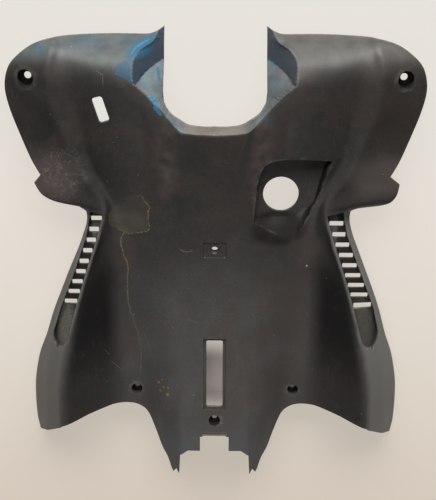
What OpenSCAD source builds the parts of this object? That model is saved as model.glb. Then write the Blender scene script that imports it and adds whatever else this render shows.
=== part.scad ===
// Inner leg shield of a small scooter, one thin moulding, lying with its rider's side up.
// X runs across the shield, Y from its foot up to its neck, and Z away from the floor.
// The origin lies on the floor, in the middle of the shield's width and length.
// The sizes along Y are measured from a point near the hook screw, and the whole is moved at the end.
// The neck tips and the two strips end flat on the floor that they rest on.
// Every well, slot and opening is cut along Z, the way the mould opens.

/* [Shield] */
// Width over the two upper wings
shield_w = 460; // [440:1:480]
// Length from the neck tips to the foot prongs
shield_l = 540; // [520:1:560]
// Height of the neck crest above the floor
shield_h = 85; // [78:1:92]
// Thickness of the moulded wall
wall = 2.8; // [2.4:0.1:3.4]

/* [Column] */
// Half width of the raised centre plate
plate_half = 36; // [33:0.5:39]
// Height of the plate's side step at the neck
step_h = 3.5; // [2:0.25:5]
// Width of the plate's sloped side step
step_w = 5; // [4:0.25:6]

/* [Corner screws] */
// Distance of the corner screws from the centre line
corner_x = 205; // [200:0.5:208]
// Distance of the corner screws above the middle
corner_y = 198; // [192:0.5:202]
// Diameter of the corner wells
corner_well_d = 18; // [16:0.5:20]
// Height of the corner wells' floors above the shield's floor plane
corner_floor_z = 22; // [20:0.5:24]
// Diameter of the corner screw holes
corner_hole_d = 8; // [6:0.5:9]

/* [Side screws] */
// Distance of the side screws from the centre line
side_x = 95; // [91:0.5:99]
// Distance of the side screws below the middle
side_y = 186; // [182:0.5:188]
// Diameter of the side wells
side_well_d = 12.5; // [11:0.5:14]
// Depth of the side wells
side_depth = 9; // [7:0.5:11]
// Diameter of the side screw holes
side_hole_d = 6; // [5:0.5:7]

/* [Foot screw] */
// Distance of the foot screw below the middle
foot_y = 214.5; // [214:0.5:217]
// Diameter of the foot well
foot_well_d = 13; // [11.5:0.5:14]
// Depth of the foot well
foot_depth = 8; // [6:0.5:10]
// Diameter of the foot screw hole
foot_hole_d = 6; // [5:0.5:7]

/* [Hook screw] */
// Distance of the hook screw above the middle
hook_y = 5; // [2:0.5:8]
// Diameter of the hook screw hole
hook_hole_d = 8.5; // [7:0.5:10]
// Depth of the tube below the hook pad
hook_tube = 13; // [10:0.5:15]
// Width of the sunk hook pad
pad_w = 26; // [22:0.5:29]
// Length of the sunk hook pad
pad_l = 19; // [16:0.5:22]
// Depth of the sunk hook pad
pad_depth = 0.8; // [0.5:0.1:1.2]

/* [Lock pocket] */
// Distance of the lock hole from the centre line
lock_x = 74; // [72:0.5:76]
// Distance of the lock hole above the middle
lock_y = 67.5; // [66:0.5:69]
// Diameter of the lock hole
lock_d = 40; // [36:0.5:41]
// Height of the pocket floor above the floor plane
pocket_floor_z = 35; // [32:0.5:37]

/* [Louvres] */
// Number of louvre slots on each side
slot_count = 9; // [7:1:9]
// Distance between neighbouring slots
slot_pitch = 12.8; // [12:0.1:13.4]
// Height of each slot, along the shield
slot_w = 5.75; // [5:0.25:7.5]
// Depth of the groove that the slots lie in, beside its outer wall
groove_depth = 9; // [7:0.5:10]

/* [Window] */
// Width of the clear window
window_w = 19.5; // [17:0.5:21]
// Distance of the window's upper end below the middle
window_top = 110; // [106:0.5:114]
// Length of the window's frame
window_l = 91; // [84:0.5:91]
// Width of the ledge round the window
ledge_w = 3.2; // [2.5:0.1:4]
// Depth of the ledge below the surface
ledge_depth = 3; // [2:0.25:4]

/* [Lever slot] */
// Width of the slanted slot
lever_w = 12; // [10:0.5:14]
// Length of the slanted slot
lever_l = 28; // [24:0.5:32]
// Distance of the slot from the centre line
lever_x = 123; // [120:0.5:126]
// Distance of the slot above the middle
lever_y = 167.5; // [164:0.5:170]
// Lean of the slot in degrees
lever_lean = 17; // [12:0.5:22]
// Depth of the wall round the slot
lever_depth = 5; // [4:0.25:7]

/* [Foot] */
// Width of the notch between the prongs
notch_w = 35; // [31:0.5:38]
// Depth of the stepped lip at the notch
lip_h = 2.5; // [1.5:0.25:3.5]
// Length of the stepped lip
lip_l = 6; // [5:0.25:8]

/* [Hidden] */
half = shield_w / 2;
// Overrun of every cut past the wall that it passes through
over = 10;
// Depth of the solid body that the wall is skinned from
body_depth = 60;
// Steepest wall, as a multiple of the wall's thickness measured straight down
steep_share = 2.5;
// Corner radius of the lever slot
lever_r = 3;
// Corner radius of the window
window_r = 2;

// Guide lines, each a table of shares along the length, across the half width and up the height
centre_shares = [
    [0.48, 0, 0.1], [0.45, 0, 0.3], [0.43, 0, 0.5], [0.41, 0, 0.65], [0.385, 0, 0.76], [0.36, 0, 0.85],
    [0.33, 0, 0.94], [0.3, 0, 0.99], [0.28, 0, 1.0], [0.2, 0, 0.86], [0.1, 0, 0.71], [0, 0, 0.6],
    [-0.1, 0, 0.55], [-0.2, 0, 0.55], [-0.3, 0, 0.59], [-0.4, 0, 0.67], [-0.5, 0, 0.72], [-0.57, 0, 0.73]
];
facet_shares = [
    [0.48, 0.38, 0.08], [0.45, 0.38, 0.15], [0.43, 0.385, 0.4], [0.41, 0.39, 0.57], [0.385, 0.385, 0.67],
    [0.36, 0.37, 0.73], [0.28, 0.335, 0.71], [0.2, 0.335, 0.65], [0.12, 0.335, 0.58], [0.03, 0.315, 0.53],
    [-0.03, 0.26, 0.52], [-0.08, 0.205, 0.53], [-0.15, 0.205, 0.54], [-0.2, 0.22, 0.53], [-0.3, 0.24, 0.54],
    [-0.38, 0.265, 0.55], [-0.42, 0.27, 0.53], [-0.46, 0.265, 0.5], [-0.51, 0.25, 0.5], [-0.57, 0.225, 0.5]
];
valley_shares = [
    [0.48, 0.57, -0.05], [0.45, 0.57, 0.12], [0.43, 0.57, 0.36], [0.41, 0.57, 0.5], [0.385, 0.57, 0.58],
    [0.35, 0.57, 0.6], [0.28, 0.56, 0.59], [0.2, 0.55, 0.56], [0.1, 0.47, 0.51], [0, 0.42, 0.46],
    [-0.1, 0.41, 0.41], [-0.2, 0.4, 0.375], [-0.3, 0.39, 0.36], [-0.4, 0.36, 0.36], [-0.48, 0.32, 0.38],
    [-0.57, 0.28, 0.4]
];
bend_shares = [
    [0.48, 0.68, -0.04], [0.45, 0.68, 0.13], [0.43, 0.68, 0.35], [0.41, 0.68, 0.46], [0.385, 0.68, 0.515],
    [0.35, 0.67, 0.53], [0.28, 0.64, 0.525], [0.2, 0.6, 0.51], [0.1, 0.5, 0.51], [0, 0.49, 0.49],
    [-0.1, 0.52, 0.46], [-0.2, 0.53, 0.44], [-0.3, 0.53, 0.44], [-0.4, 0.53, 0.44], [-0.57, 0.5, 0.44]
];
knee_shares = [
    [0.48, 0.74, -0.03], [0.45, 0.735, 0.14], [0.43, 0.72, 0.35], [0.41, 0.725, 0.46], [0.385, 0.74, 0.52],
    [0.35, 0.73, 0.54], [0.28, 0.69, 0.54], [0.2, 0.63, 0.53], [0.1, 0.52, 0.54], [0, 0.565, 0.57],
    [-0.1, 0.64, 0.66], [-0.2, 0.69, 0.74], [-0.3, 0.73, 0.79], [-0.4, 0.74, 0.8], [-0.57, 0.74, 0.8]
];
crest_shares = [
    [0.48, 0.79, 0], [0.45, 0.77, 0.17], [0.43, 0.755, 0.42], [0.405, 0.77, 0.52], [0.38, 0.785, 0.55],
    [0.35, 0.78, 0.56], [0.31, 0.77, 0.56], [0.255, 0.72, 0.56], [0.21, 0.68, 0.56], [0.18, 0.655, 0.56],
    [0.15, 0.615, 0.56], [0.125, 0.565, 0.56], [0.1, 0.542, 0.57], [0.03, 0.58, 0.61], [-0.045, 0.64, 0.67],
    [-0.16, 0.72, 0.77], [-0.28, 0.78, 0.84], [-0.39, 0.795, 0.85], [-0.57, 0.8, 0.85]
];
brow_shares = [
    [0.48, 0.86, 0], [0.45, 0.84, 0.15], [0.43, 0.84, 0.32], [0.405, 0.87, 0.4], [0.38, 0.9, 0.42],
    [0.31, 0.89, 0.43], [0.21, 0.81, 0.46], [0.15, 0.75, 0.47], [0.105, 0.72, 0.47], [0.085, 0.62, 0.45],
    [0.03, 0.64, 0.46], [-0.045, 0.71, 0.47], [-0.16, 0.8, 0.49], [-0.28, 0.87, 0.5], [-0.39, 0.89, 0.5],
    [-0.57, 0.9, 0.5]
];
rim_shares = [
    [0.48, 0.94, 0.02], [0.45, 0.9, 0.13], [0.43, 0.92, 0.19], [0.405, 0.98, 0.22], [0.37, 1.02, 0.26],
    [0.33, 1.02, 0.29], [0.295, 1.0, 0.32], [0.24, 0.955, 0.35], [0.16, 0.93, 0.37], [0.105, 0.93, 0.32],
    [0.085, 0.7, 0.29], [0.06, 0.68, 0.29], [0.03, 0.705, 0.28], [0, 0.745, 0.23], [-0.06, 0.8, 0.19],
    [-0.115, 0.85, 0.14], [-0.16, 0.885, 0.1], [-0.22, 0.925, 0.03], [-0.28, 0.97, -0.04], [-0.35, 1.01, -0.115],
    [-0.47, 1.01, -0.115], [-0.57, 1.0, -0.115]
];

// Stations along the shield, as shares of its length
row_shares = [
    0.475, 0.458, 0.445, 0.436, 0.427, 0.415, 0.4, 0.385, 0.365, 0.345, 0.32, 0.295, 0.28, 0.26, 0.235, 0.21,
    0.185, 0.16, 0.14, 0.12, 0.104, 0.088, 0.07, 0.045, 0.02, -0.01, -0.04, -0.08, -0.12, -0.16, -0.2,
    -0.24, -0.28, -0.32, -0.36, -0.39, -0.42, -0.45, -0.48, -0.515, -0.56
];

// Outline in runs, each a list of shares of the half width and the length, with the left strip drawn in a little
top_edge_shares = [
    [0.2, 0.473], [0.228, 0.464], [0.285, 0.452], [0.33, 0.448], [0.47, 0.4475], [0.6, 0.446], [0.73, 0.443], [0.81, 0.437],
    [0.87, 0.427], [0.935, 0.407], [0.975, 0.388], [0.996, 0.363], [1, 0.335], [0.978, 0.295], [0.935, 0.243],
    [0.89, 0.195], [0.85, 0.163]
];
lobe_edge_shares = [
    [0.9, 0.145], [0.888, 0.119], [0.85, 0.1], [0.78, 0.0925], [0.69, 0.0925]
];
left_lobe_edge_shares = [
    [0.885, 0.145], [0.855, 0.122], [0.81, 0.109], [0.75, 0.102], [0.655, 0.097]
];
strip_edge_shares = [
    [0.672, 0.084], [0.669, 0.061], [0.687, 0.031], [0.72, -0.006], [0.766, -0.056], [0.817, -0.112],
    [0.852, -0.155], [0.895, -0.218], [0.94, -0.274], [0.972, -0.345], [0.978, -0.407], [0.974, -0.448]
];
left_strip_edge_shares = [
    [0.635, 0.084], [0.635, 0.061], [0.657, 0.031], [0.69, -0.006], [0.741, -0.056], [0.794, -0.112],
    [0.834, -0.155], [0.883, -0.218], [0.933, -0.274], [0.969, -0.345], [0.978, -0.407], [0.974, -0.448]
];
foot_edge_shares = [
    [0.955, -0.469], [0.79, -0.4]
];
arch_edge_shares = [
    [0.66, -0.386], [0.58, -0.381], [0.525, -0.378], [0.457, -0.38], [0.4, -0.388], [0.355, -0.406],
    [0.315, -0.45], [0.283, -0.491], [0.253, -0.511], [0.232, -0.538]
];
prong_edge_shares = [
    [0.222, -0.545], [0.204, -0.529], [0.188, -0.538], [0.182, -0.487], [0.14, -0.474]
];

// Neck opening and the crest of its collar, in the same shares, with the height as the third
neck_edge_shares = [
    [0.242, 0.49, -0.04], [0.241, 0.455, 0.05], [0.241, 0.43, 0.15], [0.241, 0.402, 0.24], [0.24, 0.37, 0.4],
    [0.238, 0.335, 0.56], [0.215, 0.3165, 0.66], [0.17, 0.3, 0.75], [0.13, 0.2915, 0.8], [0.08, 0.288, 0.82],
    [0, 0.2868, 0.83]
];
collar_crest_shares = [
    [0.27, 0.485, 0.08], [0.3, 0.4375, 0.35], [0.365, 0.4265, 0.5], [0.387, 0.4095, 0.61], [0.375, 0.3645, 0.73],
    [0.3, 0.333, 0.87], [0.23, 0.307, 0.94], [0.185, 0.288, 0.99], [0.15, 0.28, 1], [0.08, 0.276, 1],
    [0, 0.2755, 1]
];

// Rim of the lock pocket and the edge of its flat floor, as shares of the half width and the length
pocket_rim_shares = [
    [0.205, 0.165], [0.225, 0.194], [0.25, 0.205], [0.3, 0.21], [0.4, 0.209], [0.56, 0.2035], [0.535, 0.17],
    [0.51, 0.136], [0.483, 0.115], [0.46, 0.085], [0.425, 0.053], [0.384, 0.023], [0.19, 0.072], [0.195, 0.138]
];
pocket_floor_shares = [
    [0.215, 0.163], [0.233, 0.19], [0.256, 0.2], [0.303, 0.205], [0.4, 0.204], [0.535, 0.196], [0.515, 0.166],
    [0.497, 0.134], [0.484, 0.111], [0.457, 0.0965], [0.423, 0.085], [0.386, 0.0765], [0.203, 0.072], [0.205, 0.137]
];

// A guide's place across and its height at one station, on a smooth curve through its points
function span(table, s) =
    let (hits = [for (i = [0 : len(table) - 2]) if (table[i + 1][0] <= s) i])
    len(hits) > 0 ? hits[0] : len(table) - 2;
function slope(table, i) =
    let (a = table[max(i - 1, 0)], b = table[min(i + 1, len(table) - 1)])
    [b[1] - a[1], b[2] - a[2]] / (b[0] - a[0]);
function hermite(p, q, m, n, t) =
    p * (1 - t) * (1 - t) * (1 + 2 * t) + q * t * t * (3 - 2 * t)
    + m * t * (1 - t) * (1 - t) - n * t * t * (1 - t);
function guide(table, s) =
    let (i = span(table, s), a = table[i], b = table[i + 1], d = b[0] - a[0], t = (s - a[0]) / d,
         v = hermite([a[1], a[2]], [b[1], b[2]], slope(table, i) * d, slope(table, i + 1) * d, t))
    [v[0] * half, v[1] * shield_h];

// Crown of the centre plate
crown = 0.8;

// The plate's side step fades out toward the middle of the shield
fade_end_share = -0.08;
fade_start_share = 0.28;
function fade(s) = min(1, max(0, (s - fade_end_share) / (fade_start_share - fade_end_share)));

// One cross-section, from the centre line to the rim, as places across and heights
curve_steps = 2;
function section(s) =
    let (c = guide(centre_shares, s), f = guide(facet_shares, s),
         pts = [f, guide(valley_shares, s), guide(bend_shares, s), guide(knee_shares, s),
                guide(crest_shares, s)],
         top = c[1])
    concat(
        [[0, top], [plate_half, top - crown], [plate_half + step_w, top - crown - step_h * fade(s)]],
        [for (i = [0 : len(pts) - 2], k = [0 : curve_steps - 1])
            let (t = k / curve_steps, p = pts[i], q = pts[i + 1],
                 m = i == 0 ? (q - p) : (q - pts[i - 1]) / 2,
                 n = i == len(pts) - 2 ? (q - p) : (pts[i + 2] - p) / 2)
            hermite(p, q, m, n, t)],
        [guide(crest_shares, s), guide(brow_shares, s), guide(rim_shares, s)]);

// Mirrors a half section to a full one, as points in space
function full_row(s) =
    let (h = section(s), n = len(h))
    [for (i = [-(n - 1) : n - 1]) [sign(i) * h[abs(i)][0], s * shield_l, h[abs(i)][1]]];
// Keeps the stations off the outline's own points
station_shift_share = 0.0007;
rows = [for (s = row_shares) full_row(s + station_shift_share)];

// Straight-down thickness that gives the wall its even thickness on a slope
function steepness(j, i) =
    let (a = rows[j][max(i - 1, 0)], b = rows[j][min(i + 1, len(rows[j]) - 1)],
         c = rows[max(j - 1, 0)][i], d = rows[min(j + 1, len(rows) - 1)][i],
         across = (b[2] - a[2]) / (b[0] - a[0]),
         along = (d[2] - c[2] - across * (d[0] - c[0])) / (d[1] - c[1]))
    min(steep_share, sqrt(1 + across * across + along * along));
function lowered(drop) =
    [for (j = [0 : len(rows) - 1]) [for (i = [0 : len(rows[j]) - 1])
        rows[j][i] - [0, 0, drop * steepness(j, i)]]];

// A closed solid under a grid of surface points
module solid_under(grid, depth) {
    m = len(grid);
    n = len(grid[0]);
    floor_points = [for (row = grid) [for (p = row) [p[0], p[1], -depth]]];
    points = concat([for (row = grid) each row], [for (row = floor_points) each row]);
    low = m * n;
    polyhedron(points, concat(
        [for (j = [0 : m - 2], i = [0 : n - 2]) each
            let (a = j * n + i, b = a + 1, c = a + n, d = c + 1)
            i < (n - 1) / 2 ? [[a, b, c], [b, d, c]] : [[a, b, d], [a, d, c]]],
        [for (j = [0 : m - 2], i = [0 : n - 2]) each
            let (a = low + j * n + i, b = a + 1, c = a + n, d = c + 1) [[a, c, b], [b, c, d]]],
        [for (i = [0 : n - 2]) each [[i, low + i, i + 1], [i + 1, low + i, low + i + 1]]],
        [for (i = [0 : n - 2]) each
            let (a = (m - 1) * n + i) [[a, a + 1, low + a], [a + 1, low + a + 1, low + a]]],
        [for (j = [0 : m - 2]) each
            let (a = j * n) [[a, a + n, low + a], [a + n, low + a + n, low + a]]],
        [for (j = [0 : m - 2]) each
            let (a = j * n + n - 1) [[a, low + a, a + n], [a + n, low + a, low + a + n]]]));
}

// Points on a smooth curve through a run of outline points
function run(table, steps) =
    [for (i = [0 : len(table) - 2], k = [0 : steps - 1])
        let (p = table[i], q = table[i + 1],
             m = (q - table[max(i - 1, 0)]) / 2, n = (table[min(i + 2, len(table) - 1)] - p) / 2)
        hermite(p, q, m, n, k / steps)];
function last(table) = table[len(table) - 1];
function sized(table) = [for (p = table) [p[0] * half, p[1] * shield_l]];
function flipped(table) = [for (i = [len(table) - 1 : -1 : 0]) [-table[i][0], table[i][1]]];

edge_steps = 2;
notch_end_share = -0.439;
notch_corner = [[notch_w / 2, last(prong_edge_shares)[1] * shield_l], [notch_w / 2, notch_end_share * shield_l]];
function half_outline(lobe_edge, strip_edge) = concat(
    sized(concat(
        run(top_edge_shares, edge_steps), [last(top_edge_shares)],
        run(lobe_edge, edge_steps),
        run(strip_edge, edge_steps), [last(strip_edge)],
        foot_edge_shares,
        run(arch_edge_shares, edge_steps), [last(arch_edge_shares)],
        prong_edge_shares)),
    notch_corner);
module outline() {
    right = half_outline(lobe_edge_shares, strip_edge_shares);
    left = half_outline(left_lobe_edge_shares, left_strip_edge_shares);
    polygon(concat(right, flipped(left)));
}

// The neck opening, a little outside the foot of the collar's slope and open at the top
neck_side_shares = [[0.2435, 0.6], [0.2435, 0.343]];
neck_curve_shares = [
    [0.238, 0.326], [0.219, 0.313], [0.194, 0.3035], [0.165, 0.2965], [0.127, 0.289], [0.075, 0.2858], [0.02, 0.285]
];
module neck_opening() {
    edge = sized(concat(neck_side_shares, run(neck_curve_shares, edge_steps), [last(neck_curve_shares)]));
    polygon(concat(edge, flipped(edge)));
}

// The slope from the collar's crest down to the neck opening, as a cutter
collar_reach_share = 0.6;
// Height of the cutter's cap, as a multiple of the body's depth
cap_share = 4;
function in_space(p) = [p[0] * half, p[1] * shield_l, p[2] * shield_h];
function outward(p, d) = p + d * [p[0] == 0 ? 0 : 1, -1, 0] / sqrt(2);
function across_row(row) = concat(row, [for (i = [len(row) - 2 : -1 : 0]) [-row[i][0], row[i][1], row[i][2]]]);
module collar_cutter(grow) {
    n = len(neck_edge_shares);
    edge = [for (p = neck_edge_shares) in_space(p)];
    crest = [for (p = collar_crest_shares) in_space(p)];
    low_row = across_row([for (i = [0 : n - 1]) outward(edge[i] - collar_reach_share * (crest[i] - edge[i]), grow)]);
    high_row = across_row([for (i = [0 : n - 1]) outward(crest[i] + collar_reach_share * (crest[i] - edge[i]), grow)]);
    m = len(low_row);
    cap_row = [for (p = high_row) p + [0, 0, body_depth]];
    centre = [0, shield_l / 2 + over, -body_depth];
    top_centre = centre + [0, 0, body_depth * cap_share];
    polyhedron(concat(low_row, high_row, cap_row, [centre, top_centre]), concat(
        [for (j = [0, m], i = [0 : m - 2]) each
            let (a = j + i) [[a, a + 1, m + a], [a + 1, m + a + 1, m + a]]],
        [for (i = [0 : m - 2]) [i + 1, i, 3 * m]],
        [for (i = [2 * m : 3 * m - 2]) [i, i + 1, 3 * m + 1]],
        [[m - 1, 3 * m, 2 * m - 1], [2 * m - 1, 3 * m, 3 * m - 1], [3 * m - 1, 3 * m, 3 * m + 1]],
        [[0, m, 3 * m], [m, 2 * m, 3 * m], [2 * m, 3 * m + 1, 3 * m]]));
}

// Height of the shield's upper face at any place
function surface_z(x, y) = lookup(abs(x), section(y / shield_l));

// A closed solid through a list of rings, each with as many points as the next
module loft(rings) {
    n = len(rings[0]);
    m = len(rings);
    polyhedron([for (r = rings) each r], concat(
        [for (j = [0 : m - 2], i = [0 : n - 1]) each
            let (a = j * n + i, b = j * n + (i + 1) % n) [[a, b, a + n], [b, b + n, a + n]]],
        [for (i = [1 : n - 2]) [0, i + 1, i]],
        [for (i = [1 : n - 2]) [(m - 1) * n, (m - 1) * n + i, (m - 1) * n + i + 1]]));
}

// Moves a closed ring of points outward by one distance, with mitred corners
function unit(v) = v / norm(v);
function widened(ring, d) =
    let (n = len(ring))
    [for (i = [0 : n - 1])
        let (p = ring[(i + n - 1) % n], q = ring[i], r = ring[(i + 1) % n],
             a = unit([q[1] - p[1], p[0] - q[0]]), b = unit([r[1] - q[1], q[0] - r[0]]), c = unit(a + b))
        q + c * d / max(c * a, mitre_share)];
function raised(ring, z) = [for (p = ring) [p[0], p[1], z]];
mitre_share = 0.5;
top_z = shield_h + over;

// The lock pocket beside the column, with its flat floor and its ramp toward the foot
module pocket_cutter(grow) {
    ring = widened(sized(pocket_rim_shares), -grow);
    floor_ring = widened(sized(pocket_floor_shares), -grow);
    rim = [for (p = ring) [p[0], p[1], surface_z(p[0], p[1]) - grow]];
    loft([raised(floor_ring, pocket_floor_z - grow), rim, raised(ring, top_z)]);
}

// The louvre groove along each strip, with a round lower end, a little wider on the right
groove_start_share = 0.084;
groove_end_share = -0.216;
groove_outer_shares = [
    [-0.24, 0.873], [-0.173, 0.832], [-0.137, 0.812], [-0.059, 0.74], [0.028, 0.66], [0.079, 0.634], [0.12, 0.61]
];
left_groove_outer_shares = [
    [-0.24, 0.87], [-0.173, 0.814], [-0.137, 0.787], [-0.059, 0.713], [0.028, 0.64], [0.079, 0.618], [0.12, 0.6]
];
groove_station_shares = [0, 0.1, 0.22, 0.34, 0.46, 0.58, 0.66, 0.72, 0.77, 0.82, 0.87, 0.92, 0.955, 0.98, 0.995];
groove_round_share = 0.1;
// Width of the groove's inner wall and of its outer wall, in plan
groove_inner_run = 0.6;
groove_outer_run = 1.4;
// The groove's floor is level from wall to wall, and rises toward the surface at its lower end
groove_level_share = 0.66;
groove_end_depth = 5;
// Width of the land between the crest and the groove
crest_land = 0.5;
function strip_z(x, s) =
    let (c = guide(crest_shares, s), b = guide(brow_shares, s), r = guide(rim_shares, s))
    lookup(x, [c, b, r]);
function ease(t) = let (u = max(0, min(1, t))) u * u * (3 - 2 * u);
function groove_x(outer, s) = [guide(crest_shares, s)[0] + crest_land, lookup(s, outer) * half];
function groove_row(outer, t, grow) =
    let (s = groove_start_share + t * (groove_end_share - groove_start_share) - grow * t / shield_l,
         w = groove_x(outer, s), u = max(0, (t - 1 + groove_round_share) / groove_round_share),
         k = (1 - sqrt(1 - u * u)) / 2, wide = w[1] - w[0], xi = w[0] + k * wide, xo = w[1] - k * wide,
         room = (xo - xi) / wide, y = s * shield_l, level = strip_z(w[1], s) - groove_depth,
         e = ease((t - groove_level_share) / (1 - groove_level_share)),
         zi = level + e * (strip_z(w[0], s) - groove_end_depth - level) - grow,
         zo = level + e * (strip_z(w[1], s) - groove_end_depth - level) - grow)
    [[xi - grow, y, top_z], [xo + grow, y, top_z], [xo + grow, y, strip_z(xo, s)],
     [xo - groove_outer_run * room + grow, y, zo + (zi - zo) * k],
     [xi + groove_inner_run * room - grow, y, zi + (zo - zi) * k], [xi - grow, y, strip_z(xi, s)]];
module groove_cutter(outer, grow) {
    loft([for (t = groove_station_shares) groove_row(outer, t, grow)]);
}
module both_grooves(grow) {
    groove_cutter(groove_outer_shares, grow);
    mirror([1, 0, 0])
    groove_cutter(left_groove_outer_shares, grow);
}
// Places of the first slots above the middle, with the left row a little higher
slot_first_y = 27.9;
left_slot_first_y = 33.9;
slot_end_gap = 0.3;
module louvre_slots(outer, first_y) {
    for (i = [0 : slot_count - 1]) {
        y = first_y - i * slot_pitch;
        w = groove_x(outer, y / shield_l);
        x0 = w[0] + groove_inner_run + slot_end_gap;
        x1 = w[1] - groove_outer_run - slot_end_gap;
        translate([x0, y - slot_w / 2, -body_depth])
        cube([x1 - x0, slot_w, body_depth + strip_z(w[0], y / shield_l)]);
    }
}

// The framed window on the centre line, sunk to its ledge
module window_cutter(grow) {
    w = window_w / 2 + ledge_w + grow;
    loft([for (y = [-window_top + grow, -window_top - window_l - grow])
        let (z = surface_z(0, y) - ledge_depth - grow)
        [[-w, y, top_z], [w, y, top_z], [w, y, z], [-w, y, z]]]);
}
module rounded(w, l, r) {
    offset(r = r)
    square([w - 2 * r, l - 2 * r], center = true);
}
module window_opening() {
    translate([0, -window_top - window_l / 2, -body_depth])
    linear_extrude(body_depth + top_z)
    rounded(window_w, window_l - 2 * ledge_w, window_r);
}

// The slanted lever slot in the left wing
module lever_opening(grow, low) {
    translate([-lever_x, lever_y, low])
    rotate(lever_lean)
    linear_extrude(top_z - low)
    rounded(lever_w + 2 * grow, lever_l + 2 * grow, lever_r + grow);
}

// Walls round the screw wells, down to their floors
wall_facets = 32;
module well_body(x, y, d, floor_z) {
    translate([x, y, floor_z - wall])
    cylinder(d = d + 2 * wall, h = top_z - floor_z, $fn = wall_facets);
}
module mirrored() {
    children();
    mirror([1, 0, 0])
    children();
}
side_floor_z = surface_z(side_x, -side_y) - side_depth;
foot_floor_z = surface_z(0, -foot_y) - foot_depth;
hook_low_z = surface_z(0, hook_y) - hook_tube;

// The stepped lip at the notch between the prongs
lip_side = 3;
lip_half = notch_w / 2 - lip_side;
module lip_cutter(grow) {
    y = notch_end_share * shield_l + lip_l;
    translate([-lip_half - grow, y + grow - lip_l - over, surface_z(0, y) - lip_h - grow])
    cube([2 * (lip_half + grow), lip_l + over, top_z]);
}

// The sunk pad round the hook screw
module pad_cutter() {
    w = pad_w / 2;
    loft([for (y = [hook_y + pad_l / 2, hook_y - pad_l / 2])
        let (z = surface_z(0, y) - pad_depth)
        [[-w, y, top_z], [w, y, top_z], [w, y, z], [-w, y, z]]]);
}

// The shield as a body of solid material under its upper face
module upper_body() {
    difference() {
        solid_under(rows, body_depth);
        collar_cutter(0);
        pocket_cutter(0);
        both_grooves(0);
        window_cutter(0);
        lip_cutter(0);
        pad_cutter();
    }
}

// The same body drawn in by the wall, which leaves the underside hollow
module lower_body() {
    difference() {
        solid_under(lowered(wall), body_depth);
        collar_cutter(wall);
        pocket_cutter(wall);
        both_grooves(wall);
        window_cutter(wall);
        lip_cutter(wall);
        lever_opening(wall, surface_z(lever_x, lever_y) - lever_depth);
        mirrored() well_body(corner_x, corner_y, corner_well_d, corner_floor_z);
        mirrored() well_body(side_x, -side_y, side_well_d, side_floor_z);
        well_body(0, -foot_y, foot_well_d, foot_floor_z);
        well_body(0, hook_y, hook_hole_d, hook_low_z + wall);
    }
}

// A screw well with its hole through the floor
well_facets = 48;
lock_facets = 96;
module screw_well(x, y, well_d, hole_d, floor_z) {
    translate([x, y, floor_z])
    cylinder(d = well_d, h = top_z - floor_z, $fn = well_facets);
    translate([x, y, floor_z - wall - over])
    cylinder(d = hole_d, h = wall + 2 * over, $fn = well_facets);
}

// Middle of the shield's length, which the origin is moved to
neck_tip_share = 0.46;
middle_y = (neck_tip_share + prong_edge_shares[0][1]) / 2 * shield_l;
module leg_shield() {
    color([0.2, 0.2, 0.19])
    translate([0, -middle_y, 0])
    difference() {
        resize([0, 0, 0])
        intersection() {
            difference() {
                upper_body();
                lower_body();
                louvre_slots(groove_outer_shares, slot_first_y);
                mirror([1, 0, 0]) louvre_slots(left_groove_outer_shares, left_slot_first_y);
                window_opening();
                lever_opening(0, -body_depth);
            }
            linear_extrude(top_z)
            difference() {
                outline();
                neck_opening();
            }
        }
        mirrored() screw_well(corner_x, corner_y, corner_well_d, corner_hole_d, corner_floor_z);
        mirrored() screw_well(side_x, -side_y, side_well_d, side_hole_d, side_floor_z);
        screw_well(0, -foot_y, foot_well_d, foot_hole_d, foot_floor_z);
        translate([0, hook_y, hook_low_z - over])
        cylinder(d = hook_hole_d, h = top_z, $fn = well_facets);
        translate([lock_x, lock_y, pocket_floor_z - wall - over])
        cylinder(d = lock_d, h = top_z - pocket_floor_z, $fn = lock_facets);
    }
}

leg_shield();
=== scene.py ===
"""Looks of an inner leg shield: one worn black moulding lying on a pale floor."""
import math

import bpy
import numpy as np
from mathutils import Matrix, Vector
from mathutils.bvhtree import BVHTree
from mathutils.geometry import delaunay_2d_cdt
from mathutils.kdtree import KDTree


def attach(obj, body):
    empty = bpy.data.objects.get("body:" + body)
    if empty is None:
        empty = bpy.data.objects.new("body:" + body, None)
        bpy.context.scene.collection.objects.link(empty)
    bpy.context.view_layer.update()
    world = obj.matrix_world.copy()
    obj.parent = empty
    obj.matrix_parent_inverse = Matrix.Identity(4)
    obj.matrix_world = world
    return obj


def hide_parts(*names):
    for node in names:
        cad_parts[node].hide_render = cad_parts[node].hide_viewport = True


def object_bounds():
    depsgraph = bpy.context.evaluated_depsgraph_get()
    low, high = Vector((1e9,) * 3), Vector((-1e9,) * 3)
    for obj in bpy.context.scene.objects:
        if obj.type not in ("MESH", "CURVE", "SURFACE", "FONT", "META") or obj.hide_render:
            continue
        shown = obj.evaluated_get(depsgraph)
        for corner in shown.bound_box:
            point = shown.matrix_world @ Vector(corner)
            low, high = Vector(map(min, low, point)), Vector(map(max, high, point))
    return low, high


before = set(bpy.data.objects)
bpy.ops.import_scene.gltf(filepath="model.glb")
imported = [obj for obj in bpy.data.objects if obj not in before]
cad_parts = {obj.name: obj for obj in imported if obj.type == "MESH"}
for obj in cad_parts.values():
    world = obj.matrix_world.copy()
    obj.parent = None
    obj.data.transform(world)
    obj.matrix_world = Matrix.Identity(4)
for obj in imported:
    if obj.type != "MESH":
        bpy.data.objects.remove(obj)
cad_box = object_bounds()

MM = 0.001

# Sizes in millimetres, as in the part's source
HALF = 230.0
LENGTH = 540.0
HEIGHT = 85.0
WALL = 2.8
PLATE_HALF = 36.0
STEP_W = 5.0
STEP_H = 3.5
CROWN = 0.8
MIDDLE_Y = -22.95
TOP_Z = 95.0
BACK_SLOPE = 2.5

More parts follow.
